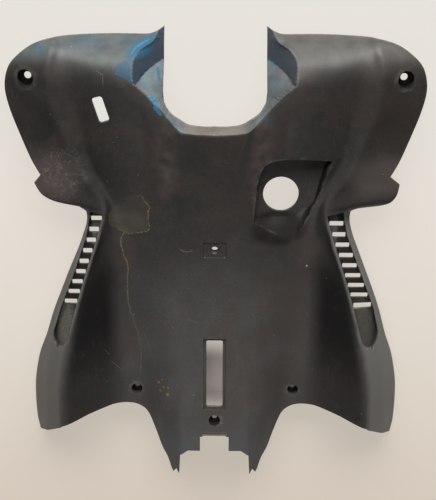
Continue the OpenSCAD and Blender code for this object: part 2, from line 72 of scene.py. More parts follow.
# Guide lines as shares of the length, the half width and the height
CENTRE = [
    (0.48, 0, 0.1), (0.45, 0, 0.3), (0.43, 0, 0.5), (0.41, 0, 0.65), (0.385, 0, 0.76), (0.36, 0, 0.85),
    (0.33, 0, 0.94), (0.3, 0, 0.99), (0.28, 0, 1.0), (0.2, 0, 0.86), (0.1, 0, 0.71), (0, 0, 0.6),
    (-0.1, 0, 0.55), (-0.2, 0, 0.55), (-0.3, 0, 0.59), (-0.4, 0, 0.67), (-0.5, 0, 0.72), (-0.57, 0, 0.73)]
FACET = [
    (0.48, 0.38, 0.08), (0.45, 0.38, 0.15), (0.43, 0.385, 0.4), (0.41, 0.39, 0.57), (0.385, 0.385, 0.67),
    (0.36, 0.37, 0.73), (0.28, 0.335, 0.71), (0.2, 0.335, 0.65), (0.12, 0.335, 0.58), (0.03, 0.315, 0.53),
    (-0.03, 0.26, 0.52), (-0.08, 0.205, 0.53), (-0.15, 0.205, 0.54), (-0.2, 0.22, 0.53), (-0.3, 0.24, 0.54),
    (-0.38, 0.265, 0.55), (-0.42, 0.27, 0.53), (-0.46, 0.265, 0.5), (-0.51, 0.25, 0.5), (-0.57, 0.225, 0.5)]
VALLEY = [
    (0.48, 0.57, -0.05), (0.45, 0.57, 0.12), (0.43, 0.57, 0.36), (0.41, 0.57, 0.5), (0.385, 0.57, 0.58),
    (0.35, 0.57, 0.6), (0.28, 0.56, 0.59), (0.2, 0.55, 0.56), (0.1, 0.47, 0.51), (0, 0.42, 0.46),
    (-0.1, 0.41, 0.41), (-0.2, 0.4, 0.375), (-0.3, 0.39, 0.36), (-0.4, 0.36, 0.36), (-0.48, 0.32, 0.38),
    (-0.57, 0.28, 0.4)]
BEND = [
    (0.48, 0.68, -0.04), (0.45, 0.68, 0.13), (0.43, 0.68, 0.35), (0.41, 0.68, 0.46), (0.385, 0.68, 0.515),
    (0.35, 0.67, 0.53), (0.28, 0.64, 0.525), (0.2, 0.6, 0.51), (0.1, 0.5, 0.51), (0, 0.49, 0.49),
    (-0.1, 0.52, 0.46), (-0.2, 0.53, 0.44), (-0.3, 0.53, 0.44), (-0.4, 0.53, 0.44), (-0.57, 0.5, 0.44)]
KNEE = [
    (0.48, 0.74, -0.03), (0.45, 0.735, 0.14), (0.43, 0.72, 0.35), (0.41, 0.725, 0.46), (0.385, 0.74, 0.52),
    (0.35, 0.73, 0.54), (0.28, 0.69, 0.54), (0.2, 0.63, 0.53), (0.1, 0.52, 0.54), (0, 0.565, 0.57),
    (-0.1, 0.64, 0.66), (-0.2, 0.69, 0.74), (-0.3, 0.73, 0.79), (-0.4, 0.74, 0.8), (-0.57, 0.74, 0.8)]
CREST = [
    (0.48, 0.79, 0), (0.45, 0.77, 0.17), (0.43, 0.755, 0.42), (0.405, 0.77, 0.52), (0.38, 0.785, 0.55),
    (0.35, 0.78, 0.56), (0.31, 0.77, 0.56), (0.255, 0.72, 0.56), (0.21, 0.68, 0.56), (0.18, 0.655, 0.56),
    (0.15, 0.615, 0.56), (0.125, 0.565, 0.56), (0.1, 0.542, 0.57), (0.03, 0.58, 0.61), (-0.045, 0.64, 0.67),
    (-0.16, 0.72, 0.77), (-0.28, 0.78, 0.84), (-0.39, 0.795, 0.85), (-0.57, 0.8, 0.85)]
BROW = [
    (0.48, 0.86, 0), (0.45, 0.84, 0.15), (0.43, 0.84, 0.32), (0.405, 0.87, 0.4), (0.38, 0.9, 0.42),
    (0.31, 0.89, 0.43), (0.21, 0.81, 0.46), (0.15, 0.75, 0.47), (0.105, 0.72, 0.47), (0.085, 0.62, 0.45),
    (0.03, 0.64, 0.46), (-0.045, 0.71, 0.47), (-0.16, 0.8, 0.49), (-0.28, 0.87, 0.5), (-0.39, 0.89, 0.5),
    (-0.57, 0.9, 0.5)]
RIM = [
    (0.48, 0.94, 0.02), (0.45, 0.9, 0.13), (0.43, 0.92, 0.19), (0.405, 0.98, 0.22), (0.37, 1.02, 0.26),
    (0.33, 1.02, 0.29), (0.295, 1.0, 0.32), (0.24, 0.955, 0.35), (0.16, 0.93, 0.37), (0.105, 0.93, 0.32),
    (0.085, 0.7, 0.29), (0.06, 0.68, 0.29), (0.03, 0.705, 0.28), (0, 0.745, 0.23), (-0.06, 0.8, 0.19),
    (-0.115, 0.85, 0.14), (-0.16, 0.885, 0.1), (-0.22, 0.925, 0.03), (-0.28, 0.97, -0.04),
    (-0.35, 1.01, -0.115), (-0.47, 1.01, -0.115), (-0.57, 1.0, -0.115)]

# Half outlines from the neck tip to the foot notch, with the left strip drawn in, and the neck opening
TOP_EDGE = [
    (0.2, 0.473), (0.228, 0.464), (0.285, 0.452), (0.33, 0.448), (0.47, 0.4475), (0.6, 0.446), (0.73, 0.443),
    (0.81, 0.437), (0.87, 0.427), (0.935, 0.407), (0.975, 0.388), (0.996, 0.363), (1, 0.335), (0.978, 0.295),
    (0.935, 0.243), (0.89, 0.195), (0.85, 0.163)]
LOBE_EDGE = [(0.9, 0.145), (0.888, 0.119), (0.85, 0.1), (0.78, 0.0925), (0.69, 0.0925)]
LEFT_LOBE_EDGE = [(0.885, 0.145), (0.855, 0.122), (0.81, 0.109), (0.75, 0.102), (0.655, 0.097)]
STRIP_EDGE = [
    (0.672, 0.084), (0.669, 0.061), (0.687, 0.031), (0.72, -0.006), (0.766, -0.056), (0.817, -0.112),
    (0.852, -0.155), (0.895, -0.218), (0.94, -0.274), (0.972, -0.345), (0.978, -0.407), (0.974, -0.448)]
LEFT_STRIP_EDGE = [
    (0.635, 0.084), (0.635, 0.061), (0.657, 0.031), (0.69, -0.006), (0.741, -0.056), (0.794, -0.112),
    (0.834, -0.155), (0.883, -0.218), (0.933, -0.274), (0.969, -0.345), (0.978, -0.407), (0.974, -0.448)]
FOOT_EDGE = [(0.955, -0.469), (0.79, -0.4)]
ARCH_EDGE = [
    (0.66, -0.386), (0.58, -0.381), (0.525, -0.378), (0.457, -0.38), (0.4, -0.388), (0.355, -0.406),
    (0.315, -0.45), (0.283, -0.491), (0.253, -0.511), (0.232, -0.538)]
PRONG_EDGE = [(0.222, -0.545), (0.204, -0.529), (0.188, -0.538), (0.182, -0.487), (0.14, -0.474)]
NOTCH = [(17.5, -0.474 * LENGTH), (17.5, -0.439 * LENGTH)]
NECK_SIDE = [(0.2435, 0.6), (0.2435, 0.343)]
NECK_CURVE = [
    (0.238, 0.326), (0.219, 0.313), (0.194, 0.3035), (0.165, 0.2965), (0.127, 0.289), (0.075, 0.2858),
    (0.02, 0.285)]

# Collar slope round the neck: its foot and its crest, with heights
COLLAR_FOOT = [
    (0.242, 0.49, -0.04), (0.241, 0.455, 0.05), (0.241, 0.43, 0.15), (0.241, 0.402, 0.24), (0.24, 0.37, 0.4),
    (0.238, 0.335, 0.56), (0.215, 0.3165, 0.66), (0.17, 0.3, 0.75), (0.13, 0.2915, 0.8), (0.08, 0.288, 0.82),
    (0, 0.2868, 0.83)]
COLLAR_CREST = [
    (0.27, 0.485, 0.08), (0.3, 0.4375, 0.35), (0.365, 0.4265, 0.5), (0.387, 0.4095, 0.61), (0.375, 0.3645, 0.73),
    (0.3, 0.333, 0.87), (0.23, 0.307, 0.94), (0.185, 0.288, 0.99), (0.15, 0.28, 1), (0.08, 0.276, 1),
    (0, 0.2755, 1)]

# Lock pocket, its rim and the edge of its floor
POCKET_RIM = [
    (0.205, 0.165), (0.225, 0.194), (0.25, 0.205), (0.3, 0.21), (0.4, 0.209), (0.56, 0.2035), (0.535, 0.17),
    (0.51, 0.136), (0.483, 0.115), (0.46, 0.085), (0.425, 0.053), (0.384, 0.023), (0.19, 0.072), (0.195, 0.138)]
POCKET_FLOOR = [
    (0.215, 0.163), (0.233, 0.19), (0.256, 0.2), (0.303, 0.205), (0.4, 0.204), (0.535, 0.196), (0.515, 0.166),
    (0.497, 0.134), (0.484, 0.111), (0.457, 0.0965), (0.423, 0.085), (0.386, 0.0765), (0.203, 0.072),
    (0.205, 0.137)]
POCKET_FLOOR_Z = 35.0
LOCK = (74.0, 67.5, 20.0)

# Fold between the collar's flange and its wall, a circle in the plan: centre, radius, depth and reach
FOLD = (40.2, 164.65, 53.6, 5.0, 24.0)

# Louvre grooves, with the right one, 1, a little wider than the left one, -1
GROOVE_OUTER = {
    1: [(-0.24, 0.873), (-0.173, 0.832), (-0.137, 0.812), (-0.059, 0.74), (0.028, 0.66), (0.079, 0.634), (0.12, 0.61)],
    -1: [(-0.24, 0.87), (-0.173, 0.814), (-0.137, 0.787), (-0.059, 0.713), (0.028, 0.64), (0.079, 0.618), (0.12, 0.6)]}
GROOVE_START = 0.084
GROOVE_END = -0.216
GROOVE_ROUND = 0.1
GROOVE_DEPTH = 9.0
GROOVE_END_DEPTH = 5.0
GROOVE_LEVEL = 0.66
GROOVE_INNER_RUN = 0.6
GROOVE_OUTER_RUN = 1.4
CREST_LAND = 0.5
SLOT_COUNT = 9
SLOT_PITCH = 12.8
SLOT_W = 5.75
SLOT_FIRST_Y = {1: 27.9, -1: 33.9}
SLOT_END_GAP = 0.3

# Window, lever slot, lip and pad
WINDOW_W = 19.5
WINDOW_TOP = -110.0
WINDOW_L = 91.0
LEDGE_W = 3.2
LEDGE_DEPTH = 3.0
LEVER = (-123.0, 167.5, 12.0, 28.0, math.radians(17))
LIP_H = 2.5
LIP_L = 6.0
LIP_HALF = 14.5
PAD = (13.0, 9.5, 5.0, 0.8)

# Screw wells: place, well radius, hole radius and floor height
SIDE_FLOOR_Z = 21.7
FOOT_FLOOR_Z = 48.8
WELLS = [
    (205.0, 198.0, 9.0, 4.0, 22.0), (-205.0, 198.0, 9.0, 4.0, 22.0),
    (95.0, -186.0, 6.25, 3.0, SIDE_FLOOR_Z), (-95.0, -186.0, 6.25, 3.0, SIDE_FLOOR_Z),
    (0.0, -214.5, 6.5, 3.0, FOOT_FLOOR_Z)]
HOOK = (0.0, 5.0, 4.25, 38.7)


# ---------- shape ----------
def curve_values(table, s):
    """Smooth values of a guide at many stations: places across and heights."""
    t = np.array(table, float)
    order = np.argsort(t[:, 0])
    knots, data = t[order, 0], t[order, 1:]
    slopes = np.empty_like(data)
    slopes[1:-1] = (data[2:] - data[:-2]) / (knots[2:] - knots[:-2])[:, None]
    slopes[0] = (data[1] - data[0]) / (knots[1] - knots[0])
    slopes[-1] = (data[-1] - data[-2]) / (knots[-1] - knots[-2])
    s = np.clip(s, knots[0], knots[-1])
    i = np.clip(np.searchsorted(knots, s) - 1, 0, len(knots) - 2)
    d = (knots[i + 1] - knots[i])
    u = ((s - knots[i]) / d)[:, None]
    d = d[:, None]
    value = (data[i] * (1 - u) ** 2 * (1 + 2 * u) + data[i + 1] * u * u * (3 - 2 * u)
             + slopes[i] * d * u * (1 - u) ** 2 - slopes[i + 1] * d * u * u * (1 - u))
    return value * np.array([HALF, HEIGHT])


def hermite(p, q, m, n, t):
    return (p * (1 - t) ** 2 * (1 + 2 * t) + q * t * t * (3 - 2 * t)
            + m * t * (1 - t) ** 2 - n * t * t * (1 - t))


GRID = 1.0
GRID_Y = np.arange(-308.0, 262.0, GRID)
GRID_X = np.arange(0.0, 242.0, GRID)


def soften(grid, sigma):
    """Rounds the folds of a height grid, with its centre line as a mirror."""
    r = int(3 * sigma) + 1
    k = np.exp(-0.5 * (np.arange(-r, r + 1) / sigma) ** 2)
    k /= k.sum()
    wide = np.concatenate([grid[:, r:0:-1], grid, np.repeat(grid[:, -1:], r, 1)], 1)
    grid = sum(k[i] * wide[:, i:i + grid.shape[1]] for i in range(2 * r + 1))
    tall = np.concatenate([np.repeat(grid[:1], r, 0), grid, np.repeat(grid[-1:], r, 0)], 0)
    return sum(k[i] * tall[i:i + grid.shape[0]] for i in range(2 * r + 1))


def base_grid():
    """Heights of the upper face on a fine grid, before anything is cut."""
    s = GRID_Y / LENGTH
    guides = [curve_values(t, s) for t in (CENTRE, FACET, VALLEY, BEND, KNEE, CREST, BROW, RIM)]
    fade = np.clip((s + 0.08) / 0.36, 0, 1)
    grid = np.empty((len(GRID_Y), len(GRID_X)))
    for j in range(len(GRID_Y)):
        top = guides[0][j][1]
        xs = [0, PLATE_HALF, PLATE_HALF + STEP_W]
        zs = [top, top - CROWN, top - CROWN - STEP_H * fade[j]]
        pts = [g[j] for g in guides[1:6]]
        for i in range(4):
            p, q = pts[i], pts[i + 1]
            m = (q - p) if i == 0 else (q - pts[i - 1]) / 2
            n = (q - p) if i == 3 else (pts[i + 2] - p) / 2
            for t in np.arange(0, 1, 0.125):
                v = hermite(p, q, m, n, t)
                xs.append(v[0])
                zs.append(v[1])
        for g in guides[5:]:
            xs.append(g[j][0])
            zs.append(g[j][1])
        xs = np.maximum.accumulate(np.array(xs) + np.arange(len(xs)) * 1e-6)
        grid[j] = np.interp(GRID_X, xs, zs)
    return soften(grid, 1.6)


BASE = base_grid()
GRAD_Y, GRAD_X = np.gradient(BASE, GRID)
BACK = BASE - WALL * np.minimum(BACK_SLOPE, np.sqrt(1 + GRAD_X ** 2 + GRAD_Y ** 2))


def grid_height(grid, x, y):
    """Height at many places by straight interpolation."""
    u = np.clip((np.abs(x) - GRID_X[0]) / GRID, 0, len(GRID_X) - 1.001)
    v = np.clip((y - GRID_Y[0]) / GRID, 0, len(GRID_Y) - 1.001)
    i, j = u.astype(int), v.astype(int)
    a, b = u - i, v - j
    return ((grid[j, i] * (1 - a) + grid[j, i + 1] * a) * (1 - b)
            + (grid[j + 1, i] * (1 - a) + grid[j + 1, i + 1] * a) * b)


def height_at(x, y):
    return float(grid_height(BASE, np.array([x], float), np.array([y], float))[0])


def curve_through(points, steps):
    """Smooth run through outline points, without the last one."""
    p = np.array(points, float)
    out = []
    for i in range(len(p) - 1):
        m = (p[i + 1] - p[max(i - 1, 0)]) / 2
        n = (p[min(i + 2, len(p) - 1)] - p[i]) / 2
        out += [hermite(p[i], p[i + 1], m, n, k / steps) for k in range(steps)]
    return out


def scaled(points):
    return [(p[0] * HALF, p[1] * LENGTH) for p in points]


def joined_halves(right, left):
    return right + [(-x, y) for x, y in reversed(left)]


def resample(loop, step, closed=True):
    """Even points along a loop, keeping each corner sharper than about 15 degrees."""
    pts = [Vector(p) for p in loop]
    n = len(pts)
    out = []
    for i in range(n if closed else n - 1):
        a, b = pts[i], pts[(i + 1) % n]
        count = max(1, round((b - a).length / step))
        out += [a.lerp(b, k / count) for k in range(count)]
    if not closed:
        out.append(pts[-1])
    return [(p.x, p.y) for p in out]


def half_loop(lobe_edge, strip_edge):
    steps = 6
    run = curve_through(TOP_EDGE, steps) + [np.array(TOP_EDGE[-1])]
    run += curve_through(lobe_edge, steps)
    run += curve_through(strip_edge, steps) + [np.array(strip_edge[-1])]
    run += [np.array(p) for p in FOOT_EDGE]
    run += curve_through(ARCH_EDGE, steps) + [np.array(ARCH_EDGE[-1])]
    run += [np.array(p) for p in PRONG_EDGE]
    right = scaled(run) + NOTCH
    neck = scaled(curve_through(NECK_CURVE, steps) + [np.array(NECK_CURVE[-1])])
    side_x = NECK_SIDE[0][0] * HALF
    side_foot = (side_x, NECK_SIDE[1][1] * LENGTH)
    kept = [p for p in right if p[0] > side_x or p[1] < 200]
    i = next(k for k, p in enumerate(right) if p[0] > side_x)
    a, b = right[i - 1], right[i]
    t = (side_x - a[0]) / (b[0] - a[0])
    tip = (side_x, a[1] + t * (b[1] - a[1]))
    return list(reversed(neck)) + [side_foot, tip] + kept


def clip_outline():
    """The shield's outline with the neck opening taken out, as one loop."""
    return joined_halves(half_loop(LOBE_EDGE, STRIP_EDGE), half_loop(LEFT_LOBE_EDGE, LEFT_STRIP_EDGE))


def circle(x, y, r, count):
    return [(x + r * math.cos(math.tau * i / count), y + r * math.sin(math.tau * i / count)) for i in range(count)]


def rounded_box(x, y, w, l, r, turn=0.0, corner_steps=4):
    out = []
    for cx, cy, start in ((1, 1, 0), (-1, 1, 90), (-1, -1, 180), (1, -1, 270)):
        for k in range(corner_steps + 1):
            a = math.radians(start + 90 * k / corner_steps)
            px = cx * (w / 2 - r) + r * math.cos(a)
            py = cy * (l / 2 - r) + r * math.sin(a)
            out.append((x + px * math.cos(turn) - py * math.sin(turn),
                        y + px * math.sin(turn) + py * math.cos(turn)))
    return out


def offset_loop(loop, d):
    """Moves a closed loop outward by d along its corner normals."""
    p = np.array(loop, float)
    before, after = np.roll(p, 1, 0), np.roll(p, -1, 0)
    area = 0.5 * np.sum(p[:, 0] * after[:, 1] - after[:, 0] * p[:, 1])
    e, f = p - before, after - p
    a = np.stack([e[:, 1], -e[:, 0]], 1)
    b = np.stack([f[:, 1], -f[:, 0]], 1)
    a /= np.linalg.norm(a, axis=1)[:, None] + 1e-9
    b /= np.linalg.norm(b, axis=1)[:, None] + 1e-9
    c = a + b
    c /= np.linalg.norm(c, axis=1)[:, None] + 1e-9
    miter = np.maximum(np.sum(c * a, 1), 0.5)
    return p + c * (d * (1 if area > 0 else -1) / miter)[:, None]


def caster(verts, faces):
    return BVHTree.FromPolygons([Vector(v) for v in verts], faces)


def cast_heights(tree, x, y, from_below=False):
    """Height of a cutter's face at many places, or a high value where it has none."""
    out = np.full(len(x), TOP_Z * 3)
    start = -TOP_Z if from_below else TOP_Z * 4
    way = Vector((0, 0, 1 if from_below else -1))
    for i in range(len(x)):
        hit = tree.ray_cast(Vector((x[i], y[i], start)), way)[0]
        if hit is not None:
            out[i] = hit.z
    return out


def band(low, high, closed):
    """A ruled band between two lines of points."""
    n = len(low)
    verts = list(low) + list(high)
    faces = []
    for i in range(n if closed else n - 1):
        j = (i + 1) % n
        faces.append((i, j, n + j, n + i))
    return verts, faces


def dense(points, steps):
    p = np.array(points, float)
    out = []
    for i in range(len(p) - 1):
        out += [p[i] + (p[i + 1] - p[i]) * k / steps for k in range(steps)]
    return out + [p[-1]]


def collar_tree(grow):
    unit = np.array([HALF, LENGTH, HEIGHT])
    foot = np.array(dense(COLLAR_FOOT, 6)) * unit
    crest = np.array(dense(COLLAR_CREST, 6)) * unit
    lean = crest - foot
    out_x = np.where(foot[:, :1] == 0, 0, 1.0)
    push = grow * np.concatenate([out_x, -np.ones_like(out_x), 0 * out_x], 1) / math.sqrt(2)
    low, high = foot - 0.6 * lean + push, crest + 0.8 * lean + push
    flip = np.array([-1, 1, 1])
    low = np.concatenate([low, (low * flip)[-2::-1]])
    high = np.concatenate([high, (high * flip)[-2::-1]])
    verts, faces = band(low, high, False)
    return caster(verts, faces)


def pocket_lines():
    """Rim and floor edge of the lock pocket, point for point, smooth between their corners."""
    lines = []
    for table in (POCKET_RIM, POCKET_FLOOR):
        t = table[12:] + table[:12]
        line = curve_through(t[:8], 5) + curve_through(t[7:], 5) + dense([t[13], t[0]], 12)[:-1]
        lines.append(scaled(line))
    rim, floor = (np.array(l + l[:1]) for l in lines)
    run = np.concatenate([[0], np.cumsum(np.linalg.norm(np.diff(rim, axis=0), axis=1))])
    at = np.linspace(0, run[-1], int(run[-1] / 1.2))[:-1]
    return [np.stack([np.interp(at, run, l[:, k]) for k in (0, 1)], 1) for l in (rim, floor)]


def pocket_tree(grow):
    rim, floor = (offset_loop(l, grow) for l in pocket_lines())
    rim_z = grid_height(BASE, rim[:, 0], rim[:, 1]) - grow
    low = [(p[0], p[1], POCKET_FLOOR_Z - grow) for p in floor]
    high = [(p[0] * 2 - q[0], p[1] * 2 - q[1], z * 2 - POCKET_FLOOR_Z + grow) for p, q, z in zip(rim, floor, rim_z)]
    verts, faces = band(low, high, True)
    faces.append(tuple(range(len(low))))
    return caster(verts, faces)


def strip_height(x, s):
    c, b, r = (curve_values(t, np.array([s]))[0] for t in (CREST, BROW, RIM))
    return float(np.interp(x, [c[0], b[0], r[0]], [c[1], b[1], r[1]]))


def groove_sides(s, side):
    outer = GROOVE_OUTER[side]
    inner_x = curve_values(CREST, np.array([s]))[0][0] + CREST_LAND
    return inner_x, float(np.interp(s, [p[0] for p in outer], [p[1] for p in outer])) * HALF


def groove_rings(grow, side):
    """Sections of a louvre groove: the tops and feet of its two walls, from its upper end to its round end."""
    rings = []
    for t in list(np.linspace(0, 0.88, 45)) + list(np.linspace(0.9, 0.999, 16)):
        s = GROOVE_START + t * (GROOVE_END - GROOVE_START) - grow * t / LENGTH
        xi0, xo0 = groove_sides(s, side)
        u = max(0.0, (t - 1 + GROOVE_ROUND) / GROOVE_ROUND)
        k = (1 - math.sqrt(max(0.0, 1 - u * u))) / 2
        wide = xo0 - xi0
        xi, xo = xi0 + k * wide, xo0 - k * wide
        room = (xo - xi) / wide
        rise = min(1.0, max(0.0, (t - GROOVE_LEVEL) / (1 - GROOVE_LEVEL)))
        rise = rise * rise * (3 - 2 * rise)
        hi0, ho0 = strip_height(xi0, s), strip_height(xo0, s)
        level = ho0 - GROOVE_DEPTH
        zi = level + rise * (hi0 - GROOVE_END_DEPTH - level) - grow
        zo = level + rise * (ho0 - GROOVE_END_DEPTH - level) - grow
        fi, fo = xi + GROOVE_INNER_RUN * room - grow, xo - GROOVE_OUTER_RUN * room + grow
        rings.append([
            (xi - grow, s * LENGTH, strip_height(xi, s)), (fi, s * LENGTH, zi + (zo - zi) * k),
            (fo, s * LENGTH, zo + (zi - zo) * k), (xo + grow, s * LENGTH, strip_height(xo, s))])
    return rings


def groove_tree(grow, side):
    rings = []
    for a, b, c, d in groove_rings(grow, side):
        rise_in, rise_out = (a[2] - b[2]) * 0.5, (d[2] - c[2]) * 1.2
        rings.append([(a[0] - (b[0] - a[0]) * 0.5, a[1], a[2] + rise_in), b, c,
                      (d[0] + (d[0] - c[0]) * 1.2, d[1], d[2] + rise_out)])
    first = [(x, y + 0.8, z + 60) for x, y, z in rings[0]]
    last = [(x, y - 1.5, z + 25) for x, y, z in rings[-1]]
    rings = [first] + rings + [last]
    verts = [p for r in rings for p in r]
    faces = [(4 * j + i, 4 * j + i + 1, 4 * j + i + 5, 4 * j + i + 4) for j in range(len(rings) - 1) for i in range(3)]
    return caster(verts, faces)


def smooth_min(a, b, k):
    h = np.maximum(k - np.abs(a - b), 0) / k
    return np.minimum(a, b) - h * h * k / 4


def box_dent(x, y, inside, depth_run, level, z, k):
    """Lowers z to level inside a shape given by its distance function, with a sloped wall."""
    wall_z = level + np.maximum(inside, 0) / depth_run * 40
    return smooth_min(z, wall_z, k)


def box_distance(x, y, cx, cy, hw, hl, r=0.5, turn=0.0):
    px = (x - cx) * math.cos(turn) + (y - cy) * math.sin(turn)
    py = -(x - cx) * math.sin(turn) + (y - cy) * math.cos(turn)
    qx, qy = np.abs(px) - hw + r, np.abs(py) - hl + r
    return np.hypot(np.maximum(qx, 0), np.maximum(qy, 0)) + np.minimum(np.maximum(qx, qy), 0) - r


def ledge_level(y):
    y0, y1 = WINDOW_TOP, WINDOW_TOP - WINDOW_L
    z0, z1 = height_at(0, y0) - LEDGE_DEPTH, height_at(0, y1) - LEDGE_DEPTH
    return z0 + (y - y0) / (y1 - y0) * (z1 - z0)


def collar_height(grow, x, y, face):
    """The collar's slope, folded down a little where its flange meets its wall."""
    z = cast_heights(COLLAR[grow], x, y)
    cx, cy, r, deep, reach = FOLD
    off = np.clip(np.abs(np.hypot(np.abs(x) - cx, y - cy) - r) / reach, 0, 1)
    return z - deep * (1 - off) ** 2 * np.clip((face - z) / 8, 0, 1) * (y > 150)


def composed(x, y, grow):
    """Height of the upper face (grow 0) or of the back (grow = wall) at many places."""
    z = grid_height(BASE if grow == 0 else BACK, x, y)
    round_k = 1.6 if grow == 0 else 0.6
    near = (np.abs(x) < 110) & (y > 120)
    z[near] = smooth_min(z[near], collar_height(grow, x[near], y[near], z[near]), round_k)
    near = (x > 35) & (x < 140) & (y > 0) & (y < 125)
    z[near] = smooth_min(z[near], cast_heights(POCKET[grow], x[near], y[near], True), round_k * 0.6)
    for side in (1, -1):
        near = (x * side > 110) & (y < 62) & (y > -135)
        cut = cast_heights(GROOVE[grow, side], x[near] * side, y[near], True)
        z[near] = smooth_min(z[near], cut, round_k * 0.7)
    d = box_distance(x, y, 0, WINDOW_TOP - WINDOW_L / 2, WINDOW_W / 2 + LEDGE_W + grow, WINDOW_L / 2 + grow)
    z = box_dent(x, y, d, 0.5, ledge_level(y) - grow, z, 0.5)
    y0 = -0.439 * LENGTH + LIP_L
    d = box_distance(x, y, 0, y0 + grow - 20, LIP_HALF + grow, 20)
    z = box_dent(x, y, d, 1.0, height_at(0, y0) - LIP_H - grow, z, 0.5)
    if grow == 0:
        d = box_distance(x, y, 0, PAD[2], PAD[0], PAD[1])
        z = box_dent(x, y, d, 3.0, grid_height(BASE, 0 * x, y) - PAD[3], z, 0.2)
    for wx, wy, wr, _, floor in WELLS:
        d = np.hypot(x - wx, y - wy) - wr - grow
        near = d < 5
        z[near] = box_dent(x[near], y[near], d[near], 0.5, floor - grow, z[near], 0.8)
    if grow:
        d = np.hypot(x - HOOK[0], y - HOOK[1]) - HOOK[2] - grow
        near = d < 5
        z[near] = box_dent(x[near], y[near], d[near], 0.5, HOOK[3], z[near], 0.4)
        lx, ly, lw, ll, turn = LEVER
        d = box_distance(x, y, lx, ly, lw / 2 + grow, ll / 2 + grow, 3 + grow, turn)
        near = d < 5
        z[near] = box_dent(x[near], y[near], d[near], 0.5, height_at(lx, ly) - 5.0, z[near], 0.4)
        return np.maximum(z, 0.0)
    return z


COLLAR = {g: collar_tree(g) for g in (0, WALL)}
POCKET = {g: pocket_tree(g) for g in (0, WALL)}
GROOVE = {(g, side): groove_tree(g, side) for g in (0, WALL) for side in (1, -1)}


def hole_loops():
    loops = [circle(LOCK[0], LOCK[1], LOCK[2], 96), circle(HOOK[0], HOOK[1], HOOK[2], 28)]
    loops += [circle(x, y, hole, 24) for x, y, _, hole, _ in WELLS]
    loops.append(rounded_box(0, WINDOW_TOP - WINDOW_L / 2, WINDOW_W, WINDOW_L - 2 * LEDGE_W, 2.0))
    lx, ly, lw, ll, turn = LEVER
    loops.append(rounded_box(lx, ly, lw, ll, 3.0, turn))
    for i in range(SLOT_COUNT):
        for side in (1, -1):
            y = SLOT_FIRST_Y[side] - i * SLOT_PITCH
            xi, xo = groove_sides(y / LENGTH, side)
            a, b = xi + GROOVE_INNER_RUN + SLOT_END_GAP, xo - GROOVE_OUTER_RUN - SLOT_END_GAP
            loops.append(rounded_box(side * (a + b) / 2, y, b - a, SLOT_W, 0.8, 0.0, 2))
    return loops


def inside_loop(loop, x, y):
    p = np.array(loop)
    q = np.roll(p, -1, 0)
    hit = np.zeros(len(x), bool)
    for (ax, ay), (bx, by) in zip(p, q):
        if ay == by:
            continue
        cross = (ay > y) != (by > y)
        hit ^= cross & (x < (bx - ax) * (y - ay) / (by - ay) + ax)
    return hit


def evenly(line, step):
    """Places at even steps along an open line."""
    run = np.concatenate([[0], np.cumsum(np.linalg.norm(np.diff(line, axis=0), axis=1))])
    at = np.linspace(0, run[-1], max(2, int(run[-1] / step)))
    return np.stack([np.interp(at, run, line[:, k]) for k in (0, 1)], 1)


def collar_crest():
    """Where the collar's slope comes out of the right half of the face, from the neck tip to the middle."""
    line = []
    for y in np.arange(254.0, 151.5, -0.4):
        x = np.arange(40.0 if y < 160 else 57.0, 106.0, 0.2)
        face = grid_height(BASE, x, 0 * x + y)
        over = collar_height(0, x, 0 * x + y, face) - face
        cut = np.nonzero(over < 0)[0]
        if len(cut) and cut[-1] + 1 < len(x):
            i = cut[-1]
            line.append((x[i] + 0.2 * over[i] / (over[i] - over[i + 1]), y))
    even = evenly(np.array(line), 0.5)
    even[3:-3] = sum(even[k:len(even) - 6 + k] for k in range(7)) / 7
    return evenly(even, 1.3)


def fold_lines():
    """Lines where the face folds, each closed or open, which the mesh follows."""
    rim, floor = pocket_lines()
    lines = [(rim, True), (floor, True)]
    for side in (1, -1):
        rows = np.array(groove_rings(0, side)) * np.array([side, 1, 1])
        for col in range(4):
            lines.append((np.array(resample(rows[:, col, :2], 1.0, False)), False))
        top = rows[0, :, :2]
        lines.append((np.array(resample(top[[0, 3]] + [0, 0.8], 1.2, False)), False))
    crest = collar_crest()
    lines += [(crest * np.array([side, 1]), False) for side in (1, -1)]
    for wx, wy, wr, _, _ in WELLS:
        lines += [(np.array(circle(wx, wy, wr + d, 44)), True) for d in (0.0, 0.3)]
    w = WINDOW_W / 2 + LEDGE_W
    for d in (0.0, 0.3):
        box = [(w + d, WINDOW_TOP + d), (-w - d, WINDOW_TOP + d),
               (-w - d, WINDOW_TOP - WINDOW_L - d), (w + d, WINDOW_TOP - WINDOW_L - d)]
        lines.append((np.array(resample(box, 1.6)), True))
        box = [(PAD[0] + d, PAD[2] + PAD[1] + d), (-PAD[0] - d, PAD[2] + PAD[1] + d),
               (-PAD[0] - d, PAD[2] - PAD[1] - d), (PAD[0] + d, PAD[2] - PAD[1] - d)]
        lines.append((np.array(resample(box, 1.4)), True))
        y0 = -0.439 * LENGTH + LIP_L + d
        lines.append((np.array(resample([(-LIP_HALF - d, y0 - 4), (-LIP_HALF - d, y0), (LIP_HALF + d, y0),
                                         (LIP_HALF + d, y0 - 4)], 1.4, False)), False))
    return lines


